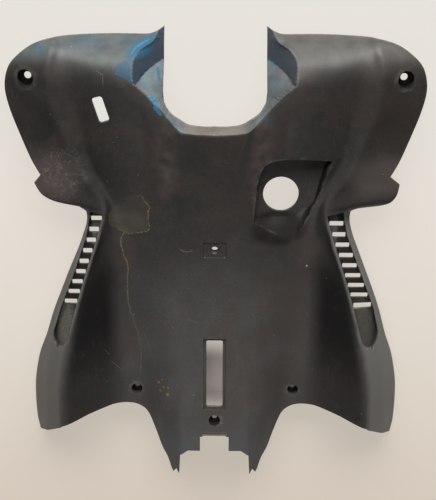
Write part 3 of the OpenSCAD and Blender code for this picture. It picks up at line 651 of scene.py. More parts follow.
def feature_rings():
    """Rows of points beside the folds."""
    rings = []
    spread = (-1.6, -0.8, -0.3, 0.3, 0.8, 1.6)
    rim, floor = pocket_lines()
    rings += [offset_loop(rim, -d) for d in (0.35, 0.8, 1.5, 2.4)] + [rim + (floor - rim) * t for t in (0.25, 0.5, 0.75)]
    rings += [offset_loop(floor, d) for d in (0.4, 1.0, 2.0)]
    unit = (HALF, LENGTH)
    for table in (COLLAR_CREST, COLLAR_FOOT):
        line = [(p[0] * unit[0], p[1] * unit[1]) for p in table]
        line = line + [(-x, y) for x, y in reversed(line[:-1])]
        line = resample(line, 1.6, False)
        p = np.array(line)
        for d in spread + (2.8,):
            rings.append(p + np.array([0, -1]) * d + np.stack([np.sign(p[:, 0]) * d * 0.7, 0 * p[:, 0]], 1))
    crest = collar_crest()
    across = np.gradient(crest, axis=0)[:, ::-1] * np.array([1, -1])
    across /= np.linalg.norm(across, axis=1)[:, None]
    for d in (-2.6, -1.6, -0.8, -0.35, 0.35, 0.8, 1.6, 2.6):
        rings += [(crest + across * d) * np.array([side, 1]) for side in (1, -1)]
    cx, cy, r = FOLD[:3]
    for d in (-1.4, -0.5, 0.0, 0.5, 1.4):
        for side in (1, -1):
            a = np.radians(np.arange(20, 75, 1.3))
            rings.append(np.stack([side * (cx + (r + d) * np.cos(a)), cy + (r + d) * np.sin(a)], 1))
    for side in (1, -1):
        rows = np.array(groove_rings(0, side))[:, :, :2] * np.array([side, 1])
        for col, offsets in ((0, (-5.6, -4.1, -2.8, -1.6, -0.8, -0.35)), (1, (0.6, 1.4)), (2, (-1.4, -0.6)), (3, (0.4, 1.0, 1.8))):
            line = np.array(resample(rows[:, col], 1.1, False))
            rings += [line + np.array([d * side, 0]) for d in offsets]
    for wx, wy, wr, hole, _ in WELLS:
        for d in (-0.9, 0.8, 1.4, WALL, WALL + 0.6):
            rings.append(np.array(circle(wx, wy, wr + d, 44)))
    rings += [np.array(circle(HOOK[0], HOOK[1], HOOK[2] + d, 30)) for d in (0.4, 1.0, WALL, WALL + 0.6)]
    lx, ly, lw, ll, turn = LEVER
    for d in (0.4, 1.0, WALL, WALL + 0.5):
        rings.append(np.array(resample(rounded_box(lx, ly, lw + 2 * d, ll + 2 * d, 3 + d, turn), 1.6)))
    w = WINDOW_W / 2 + LEDGE_W
    for d in (-0.7, 0.8, 1.6, WALL, WALL + 0.5):
        box = [(w + d, WINDOW_TOP + d), (-w - d, WINDOW_TOP + d),
               (-w - d, WINDOW_TOP - WINDOW_L - d), (w + d, WINDOW_TOP - WINDOW_L - d)]
        rings.append(np.array(resample(box, 1.6)))
    return rings


EDGE_STEP = 2.2
GRID_STEP = 3.3
EDGE_ROUND = 0.9


def spaced(points, fixed, gap):
    """Keeps the points that lie no nearer than a gap to those kept before."""
    cell = {}
    kept = []

    def near(p):
        i, j = int(p[0] // gap), int(p[1] // gap)
        for a in (i - 1, i, i + 1):
            for b in (j - 1, j, j + 1):
                for q in cell.get((a, b), ()):
                    if (p[0] - q[0]) ** 2 + (p[1] - q[1]) ** 2 < gap * gap:
                        return True
        return False

    def add(p):
        cell.setdefault((int(p[0] // gap), int(p[1] // gap)), []).append(p)

    for p in fixed:
        add(p)
    for p in points:
        if not near(p):
            add(p)
            kept.append((float(p[0]), float(p[1])))
    return kept


def build_shield():
    outline = resample(clip_outline(), EDGE_STEP)
    holes = [resample(h, EDGE_STEP * 0.8) for h in hole_loops()]
    loops = [outline] + holes
    fixed, edges = [], []
    for loop in loops:
        n = len(fixed)
        fixed += loop
        edges += [(n + i, n + (i + 1) % len(loop)) for i in range(len(loop))]
    for line, closed in fold_lines():
        n = len(fixed)
        fixed += [tuple(float(c) for c in q) for q in line]
        edges += [(n + i, n + (i + 1) % len(line)) for i in range(len(line) - (0 if closed else 1))]
    border = []
    for k, loop in enumerate(loops):
        sign = -1 if k == 0 else 1
        for d in (0.3, 0.8, 1.6):
            border += [tuple(p) for p in offset_loop(loop, sign * d)]
    inner = spaced(border, fixed, 0.28)
    ring_points = [tuple(p) for r in feature_rings() for p in r]
    inner += spaced(ring_points, fixed + inner, 0.26)
    hexes = []
    row = 0
    y = -0.56 * LENGTH
    while y < 0.5 * LENGTH:
        x = -HALF + (row % 2) * GRID_STEP / 2
        while x < HALF:
            hexes.append((x, y))
            x += GRID_STEP
        y += GRID_STEP * math.sqrt(3) / 2
        row += 1
    inner += spaced(hexes, fixed + inner, GRID_STEP * 0.62)
    p = np.array(inner)
    keep = inside_loop(outline, p[:, 0], p[:, 1])
    for h in holes:
        keep &= ~inside_loop(h, p[:, 0], p[:, 1])
    p = p[keep]
    points = [Vector(q) for q in fixed] + [Vector(q) for q in p]
    verts, _, faces, _, _, _ = delaunay_2d_cdt(points, edges, [], 0, 1e-5)
    v = np.array([tuple(q) for q in verts])
    f = np.array([t for t in faces if len(t) == 3])
    mid = v[f].mean(1)
    keep = inside_loop(outline, mid[:, 0], mid[:, 1])
    for h in holes:
        keep &= ~inside_loop(h, mid[:, 0], mid[:, 1])
    f = f[keep]
    used = np.unique(f)
    renumber = np.full(len(v), -1)
    renumber[used] = np.arange(len(used))
    v, f = v[used], renumber[f]
    x, y = v[:, 0].copy(), v[:, 1].copy()
    top = composed(x, y, 0)
    back = np.minimum(composed(x, y, WALL), top - 0.9)
    back = np.maximum(back, 0.0)
    edge_tree = KDTree(sum(len(l) for l in loops) * 4)
    n = 0
    for loop in loops:
        for q in resample(loop, 0.55):
            if n < sum(len(l) for l in loops) * 4:
                edge_tree.insert((q[0], q[1], 0), n)
                n += 1
    edge_tree.balance()
    d = np.array([edge_tree.find((a, b, 0))[2] for a, b in v])
    u = np.clip(1 - d / EDGE_ROUND, 0, 1)
    top -= EDGE_ROUND * 0.8 * (1 - np.sqrt(np.clip(1 - u * u, 0, 1)))
    top = np.maximum(top, back + 0.5)
    count = len(v)
    y = y - MIDDLE_Y
    verts = np.concatenate([np.stack([x, y, top], 1), np.stack([x, y, back], 1)]) * MM
    verts = np.clip(verts, np.array(cad_box[0]), np.array(cad_box[1]))
    faces = [tuple(int(i) for i in t) for t in f]
    a, b, c = v[f[:, 0]], v[f[:, 1]], v[f[:, 2]]
    up = ((b - a)[:, 0] * (c - a)[:, 1] - (b - a)[:, 1] * (c - a)[:, 0]) > 0
    faces = [t if g else t[::-1] for t, g in zip(faces, up)]
    sides = {}
    for t in faces:
        for i in range(3):
            sides[(t[i], t[(i + 1) % 3])] = True
    rim = [(i, j) for i, j in sides if (j, i) not in sides]
    all_faces = faces + [tuple(count + i for i in t[::-1]) for t in faces]
    all_faces += [(j, i, count + i, count + j) for i, j in rim]
    mesh = bpy.data.meshes.new("leg_shield_skin")
    mesh.from_pydata([tuple(q) for q in verts], [], all_faces)
    mesh.update()
    for poly in mesh.polygons:
        poly.use_smooth = True
    mesh.set_sharp_from_angle(angle=math.radians(50))
    kinds = np.zeros(len(mesh.polygons), np.int32)
    kinds[len(faces):] = 1
    kinds[2 * len(faces):] = 2
    mesh.polygons.foreach_set("material_index", kinds)
    # ridge marks convex folds, for worn grey with painted highlights
    bulge = 0
    for dx, dy in ((4, 0), (-4, 0), (0, 4), (0, -4), (3, 3), (-3, 3), (3, -3), (-3, -3)):
        bulge = bulge + composed(x + dx, y + MIDDLE_Y + dy, 0)
    raised = np.clip((composed(x, y + MIDDLE_Y, 0) - bulge / 8) / 1.6, 0, 1)
    bare = grid_height(BASE, x, y + MIDDLE_Y)
    neck = (np.abs(x) < 110) & (y + MIDDLE_Y > 120)
    collar = np.zeros(count)
    collar[neck] = np.clip(bare[neck] - cast_heights(COLLAR[0], x[neck], y[neck] + MIDDLE_Y), 0, 1)
    crest = curve_values(CREST, (y + MIDDLE_Y) / LENGTH)[:, 0]
    strip = np.clip((np.abs(x) - crest) / 6 + 0.5, 0, 1) * np.clip((70 - y) / 20, 0, 1)
    # edge marks nearness to the cut edges, for worn grey with painted highlights
    edge = np.clip(1 - d / 1.7, 0, 1)
    # depth below the bare face: it weights the painted shade in recesses (less in the pocket, full in the screw wells),
    # the dust at the grooves' low ends and the duller sheen
    sunk = np.clip((bare - composed(x, y + MIDDLE_Y, 0)) / 3, 0, 1) * (y < 150) * (y > -200)
    sunk *= np.where(np.abs(x) > 140, 1.0, 0.2)
    for wx, wy, wr, _, _ in WELLS:
        sunk[np.hypot(x - wx, y + MIDDLE_Y - wy) < wr + 0.4] = 1.0
    # a thin line just within each groove's crest, for a worn edge with a painted highlight
    line = np.clip(1 - np.abs(np.abs(x) - crest + 0.2) / 1.1, 0, 1) * np.clip((66 - y) / 6, 0, 1) * np.clip((y + 92) / 20, 0, 1)
    for name, values in (("ridge", raised), ("edge", edge), ("collar", collar), ("strip", strip), ("sunk", sunk),
                         ("line", line)):
        layer = mesh.attributes.new(name, "FLOAT", "POINT")
        layer.data.foreach_set("value", np.concatenate([values, values * 0]).astype(np.float32))
    piece = bpy.data.objects.new("leg_shield_skin", mesh)
    bpy.context.scene.collection.objects.link(piece)
    return piece


# ---------- finishes ----------
def node(tree, kind, inputs=None, **settings):
    """Adds a shader node and fills its inputs by name or place with links or values."""
    n = tree.nodes.new("ShaderNode" + kind)
    for key, value in settings.items():
        setattr(n, key, value)
    for key, value in (inputs or {}).items():
        put(tree, n.inputs[key], value)
    return n


def put(tree, socket, value):
    if isinstance(value, bpy.types.NodeSocket):
        tree.links.new(value, socket)
    else:
        socket.default_value = value


def maths(tree, operation, a, b=0.0, c=0.0, clamp=False):
    n = node(tree, "Math", {0: a, 1: b, 2: c}, operation=operation, use_clamp=clamp)
    return n.outputs[0]


def ramp(tree, value, low, high, to_low=0.0, to_high=1.0):
    """A soft step of a value between two limits."""
    n = node(tree, "MapRange", {"Value": value, "From Min": low, "From Max": high, "To Min": to_low,
                                "To Max": to_high}, interpolation_type="SMOOTHSTEP")
    return n.outputs[0]


def noise(tree, place, scale, detail=3.0, rough=0.55, distort=0.0):
    n = node(tree, "TexNoise", {"Vector": place, "Scale": scale, "Detail": detail, "Roughness": rough,
                                "Distortion": distort})
    return n.outputs["Fac"]


def tint(tree, mask, under, over):
    n = node(tree, "Mix", data_type="RGBA", blend_type="MIX")
    put(tree, n.inputs[0], mask)
    put(tree, n.inputs[6], under)
    put(tree, n.inputs[7], over)
    return n.outputs[2]


def millimetres(tree):
    """The place on the shield in millimetres, as a vector and its three parts."""
    place = node(tree, "TexCoord").outputs["Object"]
    mm = node(tree, "VectorMath", {0: place, 1: (1000, 1000, 1000)}, operation="MULTIPLY").outputs[0]
    parts = node(tree, "SeparateXYZ", {0: mm}).outputs
    return mm, parts[0], parts[1], parts[2]


def spot(tree, x, y, cx, cy, rx, ry, inner=0.6, outer=1.1, wobble=None, wobble_by=0.0):
    """One inside an oval, nothing outside, with an edge that a noise pushes about."""
    dx = maths(tree, "DIVIDE", maths(tree, "SUBTRACT", x, cx), rx)
    dy = maths(tree, "DIVIDE", maths(tree, "SUBTRACT", y, cy), ry)
    d = maths(tree, "SQRT", maths(tree, "ADD", maths(tree, "MULTIPLY", dx, dx), maths(tree, "MULTIPLY", dy, dy)))
    if wobble is not None:
        d = maths(tree, "ADD", d, maths(tree, "MULTIPLY", maths(tree, "SUBTRACT", wobble, 0.5), wobble_by))
    return ramp(tree, d, outer, inner), d


def stroke(tree, x, y, a, b, half, wobble, wobble_by):
    """One along a straight stroke between two places, nothing beside it."""
    dx, dy = b[0] - a[0], b[1] - a[1]
    px, py = maths(tree, "SUBTRACT", x, a[0]), maths(tree, "SUBTRACT", y, a[1])
    along = maths(tree, "ADD", maths(tree, "MULTIPLY", px, dx), maths(tree, "MULTIPLY", py, dy))
    t = maths(tree, "DIVIDE", along, dx * dx + dy * dy, clamp=True)
    ex = maths(tree, "SUBTRACT", px, maths(tree, "MULTIPLY", t, dx))
    ey = maths(tree, "SUBTRACT", py, maths(tree, "MULTIPLY", t, dy))
    d = maths(tree, "SQRT", maths(tree, "ADD", maths(tree, "MULTIPLY", ex, ex), maths(tree, "MULTIPLY", ey, ey)))
    d = maths(tree, "ADD", d, maths(tree, "MULTIPLY", maths(tree, "SUBTRACT", wobble, 0.5), wobble_by * half))
    return ramp(tree, d, half * 1.3, half * 0.5)


def sided_distance(tree, x, y, corners):
    """Distance in millimetres outside a shape with straight sides, below nothing within it."""
    out = None
    for (ax, ay), (bx, by) in zip(corners, corners[1:] + corners[:1]):
        run = math.hypot(bx - ax, by - ay)
        nx, ny = -(by - ay) / run, (bx - ax) / run
        d = maths(tree, "MULTIPLY_ADD", x, nx, maths(tree, "MULTIPLY_ADD", y, ny, -(ax * nx + ay * ny)))
        out = d if out is None else maths(tree, "SMOOTH_MAX", out, d, 3.0)
    return out


def together(tree, *masks):
    out = masks[0]
    for m in masks[1:]:
        out = maths(tree, "MAXIMUM", out, m)
    return out


def times(tree, *masks):
    out = masks[0]
    for m in masks[1:]:
        out = maths(tree, "MULTIPLY", out, m)
    return out


def group(name, outputs, inputs):
    tree = bpy.data.node_groups.new(name, "ShaderNodeTree")
    for label, kind, value in inputs:
        item = tree.interface.new_socket(name=label, in_out="INPUT", socket_type=kind)
        if value is not None:
            item.default_value = value
    for label, kind in outputs:
        tree.interface.new_socket(name=label, in_out="OUTPUT", socket_type=kind)
    return tree, tree.nodes.new("NodeGroupInput"), tree.nodes.new("NodeGroupOutput")


def moulded_grain():
    """Fine pebbled grain of the mould with soft swirls of the plastic."""
    tree, enter, leave = group("moulded_grain", [("Height", "NodeSocketFloat"), ("Tone", "NodeSocketFloat")],
                               [("Place", "NodeSocketVector", None), ("Grain size", "NodeSocketFloat", 1.0)])
    place = enter.outputs["Place"]
    fine = node(tree, "TexVoronoi", {"Vector": place, "Scale": maths(tree, "DIVIDE", 0.9, enter.outputs["Grain size"])})
    soft = noise(tree, place, 0.18, 4.0, 0.6)
    cells = ramp(tree, fine.outputs["Distance"], 0.1, 0.75)
    height = maths(tree, "ADD", maths(tree, "MULTIPLY", cells, 0.6), maths(tree, "MULTIPLY", soft, 0.8))
    put(tree, leave.inputs["Height"], height)
    broad = noise(tree, place, 0.012, 3.0, 0.5, 0.6)
    put(tree, leave.inputs["Tone"], maths(tree, "ADD", maths(tree, "MULTIPLY", soft, 0.35),
                                          maths(tree, "MULTIPLY", broad, 0.65)))
    return tree


def settled_dust():
    """Dust that lies on level faces, in thin patches."""
    tree, enter, leave = group("settled_dust", [("Mask", "NodeSocketFloat")],
                               [("Place", "NodeSocketVector", None), ("Amount", "NodeSocketFloat", 0.5)])
    place = enter.outputs["Place"]
    up = node(tree, "SeparateXYZ", {0: node(tree, "NewGeometry").outputs["Normal"]}).outputs[2]
    level = ramp(tree, up, 0.55, 1.0)
    patch = ramp(tree, noise(tree, place, 0.03, 5.0, 0.65, 0.4), 0.4, 0.75)
    fine = ramp(tree, noise(tree, place, 0.7, 3.0, 0.7), 0.35, 0.8)
    mask = times(tree, level, maths(tree, "ADD", maths(tree, "MULTIPLY", patch, 0.75), 0.25), fine,
                 enter.outputs["Amount"])
    put(tree, leave.inputs["Mask"], mask)
    return tree


def scuffs():
    """Thin random scratches in three directions."""
    tree, enter, leave = group("scuffs", [("Mask", "NodeSocketFloat")], [("Place", "NodeSocketVector", None)])
    marks = []
    for turn, stretch, scale in ((0.35, 60, 0.9), (1.3, 80, 0.7), (2.4, 45, 0.8)):
        turned = node(tree, "Mapping", {"Vector": enter.outputs["Place"], "Rotation": (0, 0, turn),
                                        "Scale": (1.0, 1.0 / stretch, 1.0)})
        line = noise(tree, turned.outputs[0], scale, 2.0, 0.5)
        thin = ramp(tree, maths(tree, "ABSOLUTE", maths(tree, "SUBTRACT", line, 0.5)), 0.012, 0.0)
        where = ramp(tree, noise(tree, enter.outputs["Place"], 0.02 + 0.01 * turn, 2.0), 0.56, 0.68)
        marks.append(times(tree, thin, where))
    put(tree, leave.inputs["Mask"], together(tree, *marks))
    return tree


GRAIN = moulded_grain()
DUST = settled_dust()
SCUFFS = scuffs()


def placed(tree, shared, inputs):
    n = tree.nodes.new("ShaderNodeGroup")
    n.node_tree = shared
    for key, value in inputs.items():
        put(tree, n.inputs[key], value)
    return n


CHARCOAL = (0.017, 0.017, 0.016, 1)
WING_SHADE = (0.009, 0.009, 0.009, 1)
EDGE_DARK = (0.075, 0.070, 0.062, 1)
EDGE_PALE = (0.16, 0.145, 0.12, 1)
BACK_PALE = (0.045, 0.045, 0.044, 1)
LOBE_TONE = (0.066, 0.055, 0.052, 1)
CHARCOAL_PALE = (0.052, 0.051, 0.049, 1)
DUST_TONE = (0.15, 0.135, 0.115, 1)
STRIP_SHEEN = (0.098, 0.099, 0.096, 1)
WORN_GREY_AND_SHEEN = (0.12, 0.117, 0.11, 1)
WARM_TONE = (0.040, 0.027, 0.025, 1)
TOP_BAND_SHEEN = (0.068, 0.066, 0.060, 1)
TOP_BAND_SHEEN_BLUE = (0.068, 0.086, 0.088, 1)
COLLAR_MIDDLE_LIT = (0.12, 0.104, 0.088, 1)
FLANK_LIT_TONE = (0.088, 0.068, 0.061, 1)
FOOT_LIT_TONE = (0.092, 0.098, 0.106, 1)
MOTTLE_TONE = (0.012, 0.012, 0.012, 1)
GRIME_TONE = (0.042, 0.036, 0.032, 1)
LIP_TONE = (0.22, 0.195, 0.16, 1)
DRIP_GREY = (0.12, 0.115, 0.10, 1)
SHADE_BLACK = (0.006, 0.006, 0.006, 1)
SCUFF_TONE = (0.18, 0.15, 0.14, 1)
FLANGE_LIT_TONE = (0.098, 0.136, 0.156, 1)
PAINT_BRIGHT = (0.012, 0.13, 0.24, 1)
PAINT_BLUE = (0.005, 0.070, 0.125, 1)
PAINT_DARK = (0.004, 0.042, 0.085, 1)
PAINT_WASH = (0.006, 0.085, 0.16, 1)
PAINT_DEEP_AND_SHADE = (0.012, 0.03, 0.058, 1)
STAIN_TONE = (0.060, 0.053, 0.040, 1)
STAIN_EDGE = (0.21, 0.15, 0.065, 1)
RUST = (0.22, 0.11, 0.04, 1)
SPECK = (0.42, 0.41, 0.39, 1)

STAIN = [(-118.6, 70.8), (-94.6, 90.1), (-82.4, 92.1), (-74.8, 80.9), (-73.6, 52.5), (-77.1, 48.3), (-98.5, 43.4),
         (-106.0, 47.6), (-119.3, 54.8)]
TRAIL = [(-101, 46), (-105, 42), (-107, 34), (-105, 19), (-101, 5), (-102.3, -31), (-100.6, -53), (-96.3, -69),
         (-90.0, -95), (-88.5, -120), (-90, -140), (-95, -154)]
RUST_SPOTS = [(-67.5, -148.7, 1.9), (-56.0, -153.0, 1.3), (-65.5, -159.5, 1.6), (-56.6, -161.8, 2.2),
              (-61.6, -153.3, 1.4), (-63.0, -144.0, 1.2)]

LIP_BOX = [(-14.5, -213.6), (-14.5, -208.0), (14.5, -208.0), (14.5, -213.6)]
BLUE_CORNER = [(-105.5, 230), (-104, 239), (-93, 243.5), (-87, 232), (-88, 222)]

# Paint strokes: from, to and half width
MARK_STROKES = [((-39, 28), (-33, 25.5)), ((-33, 25.5), (-26, 27))]
BRIGHT_STROKES = [((-88.8, 249.3), (-84.5, 254.6), 1.0), ((-84.5, 254.6), (-78, 258.0), 1.2), ((-78, 258.0), (-72, 260.4), 0.9),
                  ((-67.5, 205.5), (-62.5, 202.5), 2.2), ((-63.5, 197), (-57.5, 191), 2.0), ((-71, 208), (-60, 196), 0.8)]
FAINT_STROKES = [((-91.5, 238), (-88.5, 249), 3.0), ((-88.5, 249), (-83.5, 254.5), 4.6), ((-83.5, 254.5), (-66, 262), 4.4),
                 ((-97, 241), (-89, 224), 2.2), ((-104, 230), (-92, 227), 1.8), ((-62, 231), (-60, 221), 1.6),
                 ((58, 231), (68, 214), 0.8), ((57, 239), (66, 233), 1.6), ((52, 190), (55, 186), 1.6)]
ROLLED_STROKES = [((90.5, 238), (87.5, 246), 3.0), ((87.5, 246), (80, 252), 3.4), ((80, 252), (69, 258.5), 3.0)]
PALE_STROKES = [((-126, 232), (-119, 228), 0.35), ((-119, 228), (-119, 217), 0.3), ((-84, -88), (-78, -104), 0.3),
                ((-124, -122), (-112, -136), 0.35), ((-131, -104), (-126, -112), 0.3), ((-34, -60), (-20, -66), 0.3)]
SMUDGES = [((-146, 261), (-128, 258), 6.0), ((-198, 257), (-188, 250), 7.0)]


def trail_offset(tree, x, y):
    """Distance across from the drip's path, which a curve of places gives."""
    curve = tree.nodes.new("ShaderNodeFloatCurve")
    low, high = -160.0, 50.0
    c = curve.mapping.curves[0]
    pts = sorted(((py - low) / (high - low), (px + 115) / 40) for px, py in TRAIL)
    c.points[0].location = pts[0]
    c.points[1].location = pts[-1]
    for q in pts[1:-1]:
        c.points.new(*q)
    curve.mapping.update()
    put(tree, curve.inputs["Value"], maths(tree, "DIVIDE", maths(tree, "SUBTRACT", y, low), high - low))
    path = maths(tree, "SUBTRACT", maths(tree, "MULTIPLY", curve.outputs[0], 40), 115)
    inside = times(tree, ramp(tree, y, -157, -153), ramp(tree, y, 48, 44))
    return maths(tree, "ABSOLUTE", maths(tree, "SUBTRACT", x, path)), inside


def worn_face():
    material = bpy.data.materials.new("worn_charcoal_plastic")
    material.use_nodes = True
    tree = material.node_tree
    tree.nodes.clear()
    mm, x, y, z = millimetres(tree)
    grain = placed(tree, GRAIN, {"Place": mm, "Grain size": 1.0})
    dust = placed(tree, DUST, {"Place": mm, "Amount": 0.55}).outputs[0]
    scratch = placed(tree, SCUFFS, {"Place": mm}).outputs[0]
    ridge = node(tree, "Attribute", attribute_name="ridge").outputs["Fac"]
    edge = node(tree, "Attribute", attribute_name="edge").outputs["Fac"]
    collar = node(tree, "Attribute", attribute_name="collar").outputs["Fac"]
    strip = node(tree, "Attribute", attribute_name="strip").outputs["Fac"]
    sunk = node(tree, "Attribute", attribute_name="sunk").outputs["Fac"]
    line = node(tree, "Attribute", attribute_name="line").outputs["Fac"]
    facing = node(tree, "SeparateXYZ", {0: node(tree, "NewGeometry").outputs["Normal"]}).outputs
    patchy = noise(tree, mm, 0.05, 4.0, 0.6)
    fine = noise(tree, mm, 0.5, 4.0, 0.65)

    # plain plastic with random tone, and painted light: paler toward the lower centre, where the face tilts up toward
    # the light, and on the outer strips
    # painted light: the lower centre is paler because its face tilts up toward the light
    lower, _ = spot(tree, x, y, 0.0, -130.0, 170.0, 190.0, 0.2, 1.25)
    tone = maths(tree, "ADD", maths(tree, "MULTIPLY", lower, 0.75),
                 maths(tree, "MULTIPLY", grain.outputs["Tone"], 0.45))
    colour = tint(tree, ramp(tree, tone, 0.15, 1.0), CHARCOAL, CHARCOAL_PALE)
    hue = ramp(tree, noise(tree, mm, 0.016, 5.0, 0.6, 1.2), 0.42, 0.6)
    colour = tint(tree, maths(tree, "MULTIPLY", hue, 0.5), colour, WARM_TONE)
    grime = ramp(tree, noise(tree, mm, 0.13, 5.0, 0.72), 0.35, 0.75, 0.0, 0.35)
    colour = tint(tree, grime, colour, GRIME_TONE)
    # painted light: paler bluish grey toward the foot, where the face tilts up toward the light
    colour = tint(tree, ramp(tree, y, -175.0, -235.0, 0.0, 0.5), colour, FOOT_LIT_TONE)
    mottle = ramp(tree, noise(tree, mm, 0.32, 6.0, 0.78), 0.35, 0.7)
    colour = tint(tree, maths(tree, "MULTIPLY", mottle, 0.22), colour, MOTTLE_TONE)
    left = ramp(tree, x, 20.0, -20.0)
    # painted reflection: the outer strips are paler where they face out to the bright room, less so on the left
    colour = tint(tree, times(tree, strip, maths(tree, "MULTIPLY_ADD", left, -0.27, 0.92)), colour, STRIP_SHEEN)
    colour = tint(tree, maths(tree, "MULTIPLY", dust, 0.35), colour, DUST_TONE)
    out_x = maths(tree, "ABSOLUTE", x)
    # painted shade: the upper wings are darkened, as their faces reflect the dark room above
    wings = times(tree, ramp(tree, out_x, 60.0, 130.0), ramp(tree, y, 60.0, 120.0))
    colour = tint(tree, maths(tree, "MULTIPLY", wings, 0.3), colour, WING_SHADE)
    tips, _ = spot(tree, out_x, y, 185.0, 112.0, 48.0, 36.0, 0.3, 1.1, patchy, 0.5)
    colour = tint(tree, maths(tree, "MULTIPLY", tips, 0.8), colour, LOBE_TONE)
    # painted reflection: the top band that faces the window is paler, and bluish on the left
    front = times(tree, ramp(tree, facing[1], 0.3, 0.62), ramp(tree, y, 210.0, 238.0), ramp(tree, patchy, 0.0, 0.8))
    front = maths(tree, "SUBTRACT", front, sunk, clamp=True)
    colour = tint(tree, front, colour, tint(tree, left, TOP_BAND_SHEEN, TOP_BAND_SHEEN_BLUE))
    # painted shade: faces turned toward the centre line, and recessed places, are darkened
    side_on = maths(tree, "MULTIPLY", facing[0], maths(tree, "SIGN", x))
    inward = times(tree, ramp(tree, side_on, -0.22, -0.55), ramp(tree, y, 200.0, 150.0))
    inward = maths(tree, "SUBTRACT", inward, strip, clamp=True)
    inward = times(tree, inward, ramp(tree, y, -190.0, -60.0, 0.35, 1.0))
    shade = together(tree, inward, maths(tree, "MULTIPLY", sunk, 0.9))
    colour = tint(tree, maths(tree, "MULTIPLY", shade, 0.88), colour, SHADE_BLACK)
    # painted shade on the lower ramp of the lock pocket
    slope, _ = spot(tree, x, y, 72.0, 52.0, 34.0, 22.0, 0.7, 1.1)
    colour = tint(tree, maths(tree, "MULTIPLY", slope, 0.5), colour, WING_SHADE)
    lip = ramp(tree, sided_distance(tree, x, y, LIP_BOX), 0.8, 0.0)
    colour = tint(tree, times(tree, lip, 0.9), colour, LIP_TONE)
    # painted light: the column's sides are paler where they tilt outward toward the light
    flank, _ = spot(tree, out_x, y, 51.0, 135.0, 17.0, 75.0, 0.1, 1.15)
    colour = tint(tree, times(tree, flank, ramp(tree, patchy, 0.3, 0.7), maths(tree, "MULTIPLY_ADD", left, -0.15, 0.85)),
                  colour, FLANK_LIT_TONE)

    # worn ridges and edges, partly painted highlights along ridges, groove crests and cut edges
    ridge_wear_and_sheen = times(tree, ramp(tree, ridge, 0.3, 1.0), ramp(tree, patchy, 0.4, 0.7))
    rim_wear_and_sheen = times(tree, edge, ramp(tree, fine, 0.45, 0.75))
    colour = tint(tree, times(tree, together(tree, ridge_wear_and_sheen, rim_wear_and_sheen), 0.4), colour, WORN_GREY_AND_SHEEN)
    colour = tint(tree, times(tree, line, ramp(tree, fine, 0.3, 0.6), 0.7), colour, WORN_GREY_AND_SHEEN)
    colour = tint(tree, maths(tree, "MULTIPLY", scratch, 0.22), colour, SCUFF_TONE)

    # dry scuffing over the left lobe, dust in the left groove
    lobe, _ = spot(tree, x, y, -172.0, 113.0, 34.0, 44.0, 0.3, 1.15, patchy, 0.9)
    speckle = ramp(tree, noise(tree, mm, 1.1, 5.0, 0.75), 0.52, 0.72)
    colour = tint(tree, times(tree, lobe, speckle, 0.8), colour, SCUFF_TONE)
    swirl = ramp(tree, noise(tree, mm, 0.09, 4.0, 0.7, 2.5), 0.5, 0.7)
    colour = tint(tree, times(tree, lobe, swirl, 0.5), colour, SCUFF_TONE)
    low_end, _ = spot(tree, maths(tree, "ABSOLUTE", x), y, 177.0, -66.0, 14.0, 38.0, 0.4, 1.1, patchy, 0.4)
    colour = tint(tree, times(tree, low_end, sunk, ramp(tree, fine, 0.1, 0.9), maths(tree, "MULTIPLY_ADD", left, 0.5, 0.3)),
                  colour, DUST_TONE)

    # dried stain with its outline and the drip down to the side screw
    push = noise(tree, mm, 0.06, 4.0, 0.55)
    d = maths(tree, "ADD", sided_distance(tree, x, y, STAIN),
              maths(tree, "MULTIPLY", maths(tree, "SUBTRACT", push, 0.5), 9.0))
    stain = ramp(tree, d, 0.4, -0.8)
    outline = times(tree, ramp(tree, d, -1.2, -0.2), ramp(tree, d, 1.0, 0.1), ramp(tree, fine, 0.42, 0.6))
    kept_line = ramp(tree, maths(tree, "ADD", x, maths(tree, "MULTIPLY", y, -0.5)), -140.0, -112.0)
    low_half = ramp(tree, maths(tree, "ADD", y, maths(tree, "MULTIPLY", maths(tree, "SUBTRACT", push, 0.5), 30.0)), 74.0, 62.0)
    film = times(tree, stain, maths(tree, "MULTIPLY_ADD", low_half, 0.45, 0.3), ramp(tree, patchy, 0.1, 0.6))
    colour = tint(tree, film, colour, STAIN_TONE)
    colour = tint(tree, times(tree, outline, maths(tree, "MULTIPLY_ADD", kept_line, 0.75, 0.1)), colour, STAIN_EDGE)
    across, along = trail_offset(tree, maths(tree, "ADD", x, maths(tree, "MULTIPLY", maths(tree, "SUBTRACT", push, 0.5), 4)), y)
    fading = node(tree, "MapRange", {"Value": y, "From Min": -90.0, "From Max": 40.0, "To Min": 0.4,
                                     "To Max": 0.75}).outputs[0]
    drip = times(tree, ramp(tree, across, 1.15, 0.1), along, ramp(tree, fine, 0.3, 0.6), fading)
    colour = tint(tree, drip, colour, tint(tree, ramp(tree, y, -80.0, -20.0), DRIP_GREY, STAIN_EDGE))
    spots = [spot(tree, x, y, a, b, r, r, 0.6, 1.2, fine, 0.4)[0] for a, b, r in RUST_SPOTS]
    mark = together(tree, *[stroke(tree, x, y, a, b, 0.6, fine, 1.8) for a, b in MARK_STROKES])
    colour = tint(tree, maths(tree, "MULTIPLY", mark, 0.6), colour, STAIN_EDGE)
    colour = tint(tree, maths(tree, "MULTIPLY", together(tree, *spots), 0.75), colour, RUST)

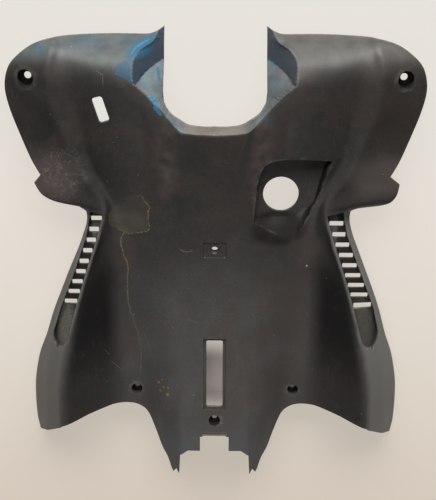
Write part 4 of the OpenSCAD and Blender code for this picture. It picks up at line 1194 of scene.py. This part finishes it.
    # collar: painted light on the flange beside the neck and on its middle, the flange tinted by blue paint mist; a
    # dark bluish wall outside the fold, blue paint with painted shade
    fold_x, fold_y, fold_r = FOLD[0], FOLD[1] - MIDDLE_Y, FOLD[2]
    _, from_fold = spot(tree, maths(tree, "ABSOLUTE", x), y, fold_x, fold_y, fold_r, fold_r)
    high = ramp(tree, y, 190.0, 206.0)
    outside = times(tree, ramp(tree, from_fold, 0.985, 1.015), collar, high)
    inside = times(tree, ramp(tree, from_fold, 1.01, 0.985), collar, ramp(tree, maths(tree, "ABSOLUTE", x), 10.0, 40.0))
    patchy_share = maths(tree, "MULTIPLY_ADD", ramp(tree, patchy, 0.35, 0.65), 0.35, 0.55)
    # painted light on the flange, tinted by blue paint mist, more on the left
    colour = tint(tree, times(tree, inside, maths(tree, "MULTIPLY_ADD", left, 0.5, 0.4), patchy_share), colour, FLANGE_LIT_TONE)
    mid = times(tree, collar, ramp(tree, maths(tree, "ABSOLUTE", x), 40.0, 25.0))
    # painted light on the middle of the collar
    colour = tint(tree, times(tree, mid, patchy_share), colour, COLLAR_MIDDLE_LIT)
    # blue paint with painted shade on the wall outside the fold and on the rolled rim
    colour = tint(tree, times(tree, outside, maths(tree, "MULTIPLY_ADD", left, 0.3, 0.45)), colour, PAINT_DEEP_AND_SHADE)
    rolled = together(tree, *[stroke(tree, out_x, y, a, b, r, fine, 0.8) for a, b, r in ROLLED_STROKES])
    colour = tint(tree, times(tree, rolled, maths(tree, "MULTIPLY_ADD", left, 0.65, 0.15)), colour, PAINT_DEEP_AND_SHADE)
    _, from_corner = spot(tree, x, y, -84.0, 255.0, 22.0, 14.0)
    wash = times(tree, ramp(tree, from_corner, 1.05, 0.45), ramp(tree, x, -60.0, -70.0))
    wash = times(tree, wash, maths(tree, "MULTIPLY_ADD", outside, 0.6, 0.15))
    colour = tint(tree, wash, colour, PAINT_WASH)

    # blue overspray left by a painted neighbour
    brushed = node(tree, "Mapping", {"Vector": mm, "Rotation": (0, 0, -0.35), "Scale": (1.0, 0.14, 1.0)}).outputs[0]
    streaky = ramp(tree, noise(tree, brushed, 0.45, 4.0, 0.65), 0.3, 0.52)
    bright = [stroke(tree, x, y, a, b, r, fine, 1.6) for a, b, r in BRIGHT_STROKES]
    faint = [stroke(tree, x, y, a, b, r, fine, 1.6) for a, b, r in FAINT_STROKES]
    sprinkle, _ = spot(tree, x, y, -63.0, 205.0, 12.0, 16.0, 0.2, 1.1)
    mist = times(tree, sprinkle, ramp(tree, noise(tree, mm, 0.8, 4.0, 0.7), 0.6, 0.7))
    triangle = ramp(tree, sided_distance(tree, x, y, BLUE_CORNER), 1.5, -2.0)
    haze = times(tree, triangle, maths(tree, "MULTIPLY_ADD", streaky, 0.5, 0.45))
    smudge = together(tree, *[stroke(tree, x, y, a, b, r, patchy, 3.0) for a, b, r in SMUDGES])
    colour = tint(tree, times(tree, smudge, streaky, 0.3), colour, PAINT_BLUE)
    colour = tint(tree, times(tree, together(tree, *faint), maths(tree, "MULTIPLY_ADD", streaky, 0.6, 0.2)), colour, PAINT_BLUE)
    colour = tint(tree, haze, colour, PAINT_DARK)
    colour = tint(tree, maths(tree, "MULTIPLY", together(tree, mist, *bright), 0.75), colour, PAINT_BRIGHT)

    # small pale specks all over
    dots = node(tree, "TexVoronoi", {"Vector": mm, "Scale": 0.085, "Randomness": 1.0})
    chosen = node(tree, "SeparateColor", {0: dots.outputs["Color"]}).outputs[0]
    specks = times(tree, ramp(tree, dots.outputs["Distance"], 0.05, 0.02), ramp(tree, chosen, 0.8, 0.82))
    lone, _ = spot(tree, x, y, 105.9, 4.4, 1.2, 1.2, 0.6, 1.1)
    close = node(tree, "TexVoronoi", {"Vector": mm, "Scale": 0.22, "Randomness": 1.0})
    picked = node(tree, "SeparateColor", {0: close.outputs["Color"]}).outputs[0]
    patch, _ = spot(tree, x, y, -116.0, 160.0, 18.0, 20.0, 0.3, 1.2)
    cluster = times(tree, patch, ramp(tree, close.outputs["Distance"], 0.14, 0.06), ramp(tree, picked, 0.55, 0.6), 0.5)
    pale = together(tree, *[stroke(tree, x, y, a, b, r, fine, 1.8) for a, b, r in PALE_STROKES])
    colour = tint(tree, times(tree, pale, ramp(tree, fine, 0.35, 0.6), 0.22), colour, SPECK)
    colour = tint(tree, maths(tree, "MULTIPLY", together(tree, specks, lone, cluster), 0.7), colour, SPECK)

    rough = maths(tree, "ADD", 0.47, maths(tree, "MULTIPLY", grain.outputs["Tone"], 0.14))
    rough = maths(tree, "ADD", rough, maths(tree, "MULTIPLY", dust, 0.25), 0.0, True)
    rough = maths(tree, "SUBTRACT", rough, times(tree, stain, 0.08), 0.0, True)
    height = maths(tree, "SUBTRACT", grain.outputs["Height"], maths(tree, "MULTIPLY", scratch, 0.5))
    height = maths(tree, "ADD", height, maths(tree, "MULTIPLY", outline, 0.4))
    bump = node(tree, "Bump", {"Strength": 0.22, "Distance": 0.0004, "Height": height})
    dull = together(tree, sunk, maths(tree, "MULTIPLY", inward, 0.8), slope,
                    times(tree, wings, ramp(tree, y, 245.0, 212.0), 0.8))
    gloss = maths(tree, "MULTIPLY_ADD", dull, -0.42, 0.5)
    shader = node(tree, "BsdfPrincipled", {"Base Color": colour, "Roughness": rough, "Normal": bump.outputs[0],
                                           "Specular IOR Level": gloss, "IOR": 1.5})
    node(tree, "OutputMaterial", {"Surface": shader.outputs[0]})
    return material


def bare_back():
    material = bpy.data.materials.new("bare_back_plastic")
    material.use_nodes = True
    tree = material.node_tree
    tree.nodes.clear()
    mm, x, y, z = millimetres(tree)
    grain = placed(tree, GRAIN, {"Place": mm, "Grain size": 1.4})
    colour = tint(tree, ramp(tree, grain.outputs["Tone"], 0.3, 0.8), CHARCOAL, BACK_PALE)
    smear = ramp(tree, noise(tree, mm, 0.02, 5.0, 0.65, 0.8), 0.5, 0.75)
    colour = tint(tree, maths(tree, "MULTIPLY", smear, 0.25), colour, DUST_TONE)
    rough = maths(tree, "ADD", 0.4, maths(tree, "MULTIPLY", grain.outputs["Tone"], 0.2))
    bump = node(tree, "Bump", {"Strength": 0.15, "Distance": 0.0004, "Height": grain.outputs["Height"]})
    shader = node(tree, "BsdfPrincipled", {"Base Color": colour, "Roughness": rough, "Normal": bump.outputs[0]})
    node(tree, "OutputMaterial", {"Surface": shader.outputs[0]})
    return material


def cut_edge():
    """Rubbed edge of the outline and of each opening."""
    material = bpy.data.materials.new("rubbed_edge_plastic")
    material.use_nodes = True
    tree = material.node_tree
    tree.nodes.clear()
    mm = millimetres(tree)[0]
    colour = tint(tree, ramp(tree, noise(tree, mm, 0.25, 4.0, 0.6), 0.35, 0.65), EDGE_DARK, EDGE_PALE)
    shader = node(tree, "BsdfPrincipled", {"Base Color": colour, "Roughness": 0.7})
    node(tree, "OutputMaterial", {"Surface": shader.outputs[0]})
    return material


# ---------- the piece ----------
shield = build_shield()
shield.data.materials.append(worn_face())
shield.data.materials.append(bare_back())
shield.data.materials.append(cut_edge())
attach(shield, "root")
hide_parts("leg_shield")

# ---------- stage ----------
FLOOR_NEAR_SHADED = (0.66, 0.59, 0.50, 1)
FLOOR_FAR = (0.80, 0.775, 0.73, 1)
FLOOR_BLOTCH = (0.62, 0.57, 0.50, 1)
GLOW_NEAR = (0.745, 0.655, 0.565, 1)
GLOW_FAR = (0.78, 0.755, 0.705, 1)
GLOW_SLOT = (0.86, 0.84, 0.80, 1)


def floor():
    mesh = bpy.data.meshes.new("floor")
    w = 6.0
    mesh.from_pydata([(-w, -w, 0), (w, -w, 0), (w, w, 0), (-w, w, 0)], [], [(0, 1, 2, 3)])
    piece = bpy.data.objects.new("floor", mesh)
    bpy.context.scene.collection.objects.link(piece)
    material = bpy.data.materials.new("pale_floor")
    material.use_nodes = True
    tree = material.node_tree
    tree.nodes.clear()
    mm, x, y, z = millimetres(tree)
    # painted light: the floor darkens and warms toward the near side, as the light from the window falls off
    far = node(tree, "MapRange", {"Value": y, "From Min": -360.0, "From Max": 300.0}).outputs[0]
    colour = tint(tree, far, FLOOR_NEAR_SHADED, FLOOR_FAR)
    blotch = ramp(tree, noise(tree, mm, 0.006, 4.0, 0.6), 0.35, 0.7)
    colour = tint(tree, maths(tree, "MULTIPLY", blotch, 0.12), colour, FLOOR_BLOTCH)
    shader = node(tree, "BsdfPrincipled", {"Base Color": colour, "Roughness": 0.75, "Specular IOR Level": 0.25})
    # painted light: for camera, glossy and transmission rays the floor partly glows, more toward the far side and under
    # the lever slot, less under the window and the screw holes, which lightens its shadows
    seen = node(tree, "LightPath").outputs
    seen = together(tree, seen["Is Camera Ray"], seen["Is Glossy Ray"], seen["Is Transmission Ray"])
    own = tint(tree, far, GLOW_NEAR, GLOW_FAR)
    bright_patch, _ = spot(tree, x, y, -129.0, 180.0, 14.0, 22.0, 0.8, 1.2)
    own = tint(tree, bright_patch, own, GLOW_SLOT)
    glow = node(tree, "Emission", {"Color": own, "Strength": 1.0})
    part = node(tree, "MapRange", {"Value": y, "From Min": -300.0, "From Max": 250.0, "To Min": 0.6,
                                   "To Max": 0.95}).outputs[0]
    under, _ = spot(tree, x, y, 0.0, -162.0, 55.0, 54.0, 0.4, 1.1)
    part = times(tree, seen, part, maths(tree, "MULTIPLY_ADD", under, -0.85, 1.0))
    screws, _ = spot(tree, maths(tree, "ABSOLUTE", x), y, 95.0, -172.0, 14.0, 14.0, 0.8, 1.0)
    foot_screw, _ = spot(tree, x, y, 0.0, -221.0, 9.0, 9.0, 0.8, 1.0)
    part = times(tree, part, maths(tree, "MULTIPLY_ADD", together(tree, screws, foot_screw), -0.9, 1.0))
    mixed = node(tree, "MixShader", {0: part, 1: shader.outputs[0], 2: glow.outputs[0]})
    node(tree, "OutputMaterial", {"Surface": mixed.outputs[0]})
    mesh.materials.append(material)
    return piece


def lamp(name, place, target, size, power, colour=(1, 1, 1)):
    light = bpy.data.lights.new(name, "AREA")
    light.shape = "RECTANGLE"
    light.size, light.size_y = size
    light.energy = power
    light.color = colour
    piece = bpy.data.objects.new(name, light)
    piece.location = place
    piece.rotation_euler = (Vector(target) - Vector(place)).to_track_quat("-Z", "Y").to_euler()
    bpy.context.scene.collection.objects.link(piece)
    return piece


def room():
    world = bpy.data.worlds.new("soft_room")
    world.use_nodes = True
    world.node_tree.nodes["Background"].inputs["Color"].default_value = (0.95, 0.97, 1.0, 1)
    world.node_tree.nodes["Background"].inputs["Strength"].default_value = 0.12
    bpy.context.scene.world = world


def camera():
    data = bpy.data.cameras.new("camera")
    data.sensor_fit = "HORIZONTAL"
    data.sensor_width = 36.0
    data.lens = 36.0 * 1022.9 / 436
    data.shift_x = 2.85 / 436
    data.clip_start, data.clip_end = 0.05, 50
    piece = bpy.data.objects.new("camera", data)
    right = Vector((0.99991, 0.00212, -0.01341)).normalized()
    back = Vector((0.01163, 0.37595, 0.92657)).normalized()
    up = back.cross(right).normalized()
    right = up.cross(back)
    turn = Matrix((right, up, back)).transposed().to_4x4()
    turn.translation = Vector((0.01396, 0.46395, 1.12443))
    piece.matrix_world = turn
    bpy.context.scene.collection.objects.link(piece)
    bpy.context.scene.camera = piece


floor()
room()
lamp("window_light", (0.05, 1.75, 1.05), (0, 0.05, 0), (2.4, 1.2), 86, (1, 0.985, 0.96))
lamp("ceiling_light", (-0.3, 0.3, 2.6), (0, 0, 0), (1.2, 1.2), 12, (1, 0.98, 0.95))
camera()
bpy.context.scene.view_settings.view_transform = "Standard"
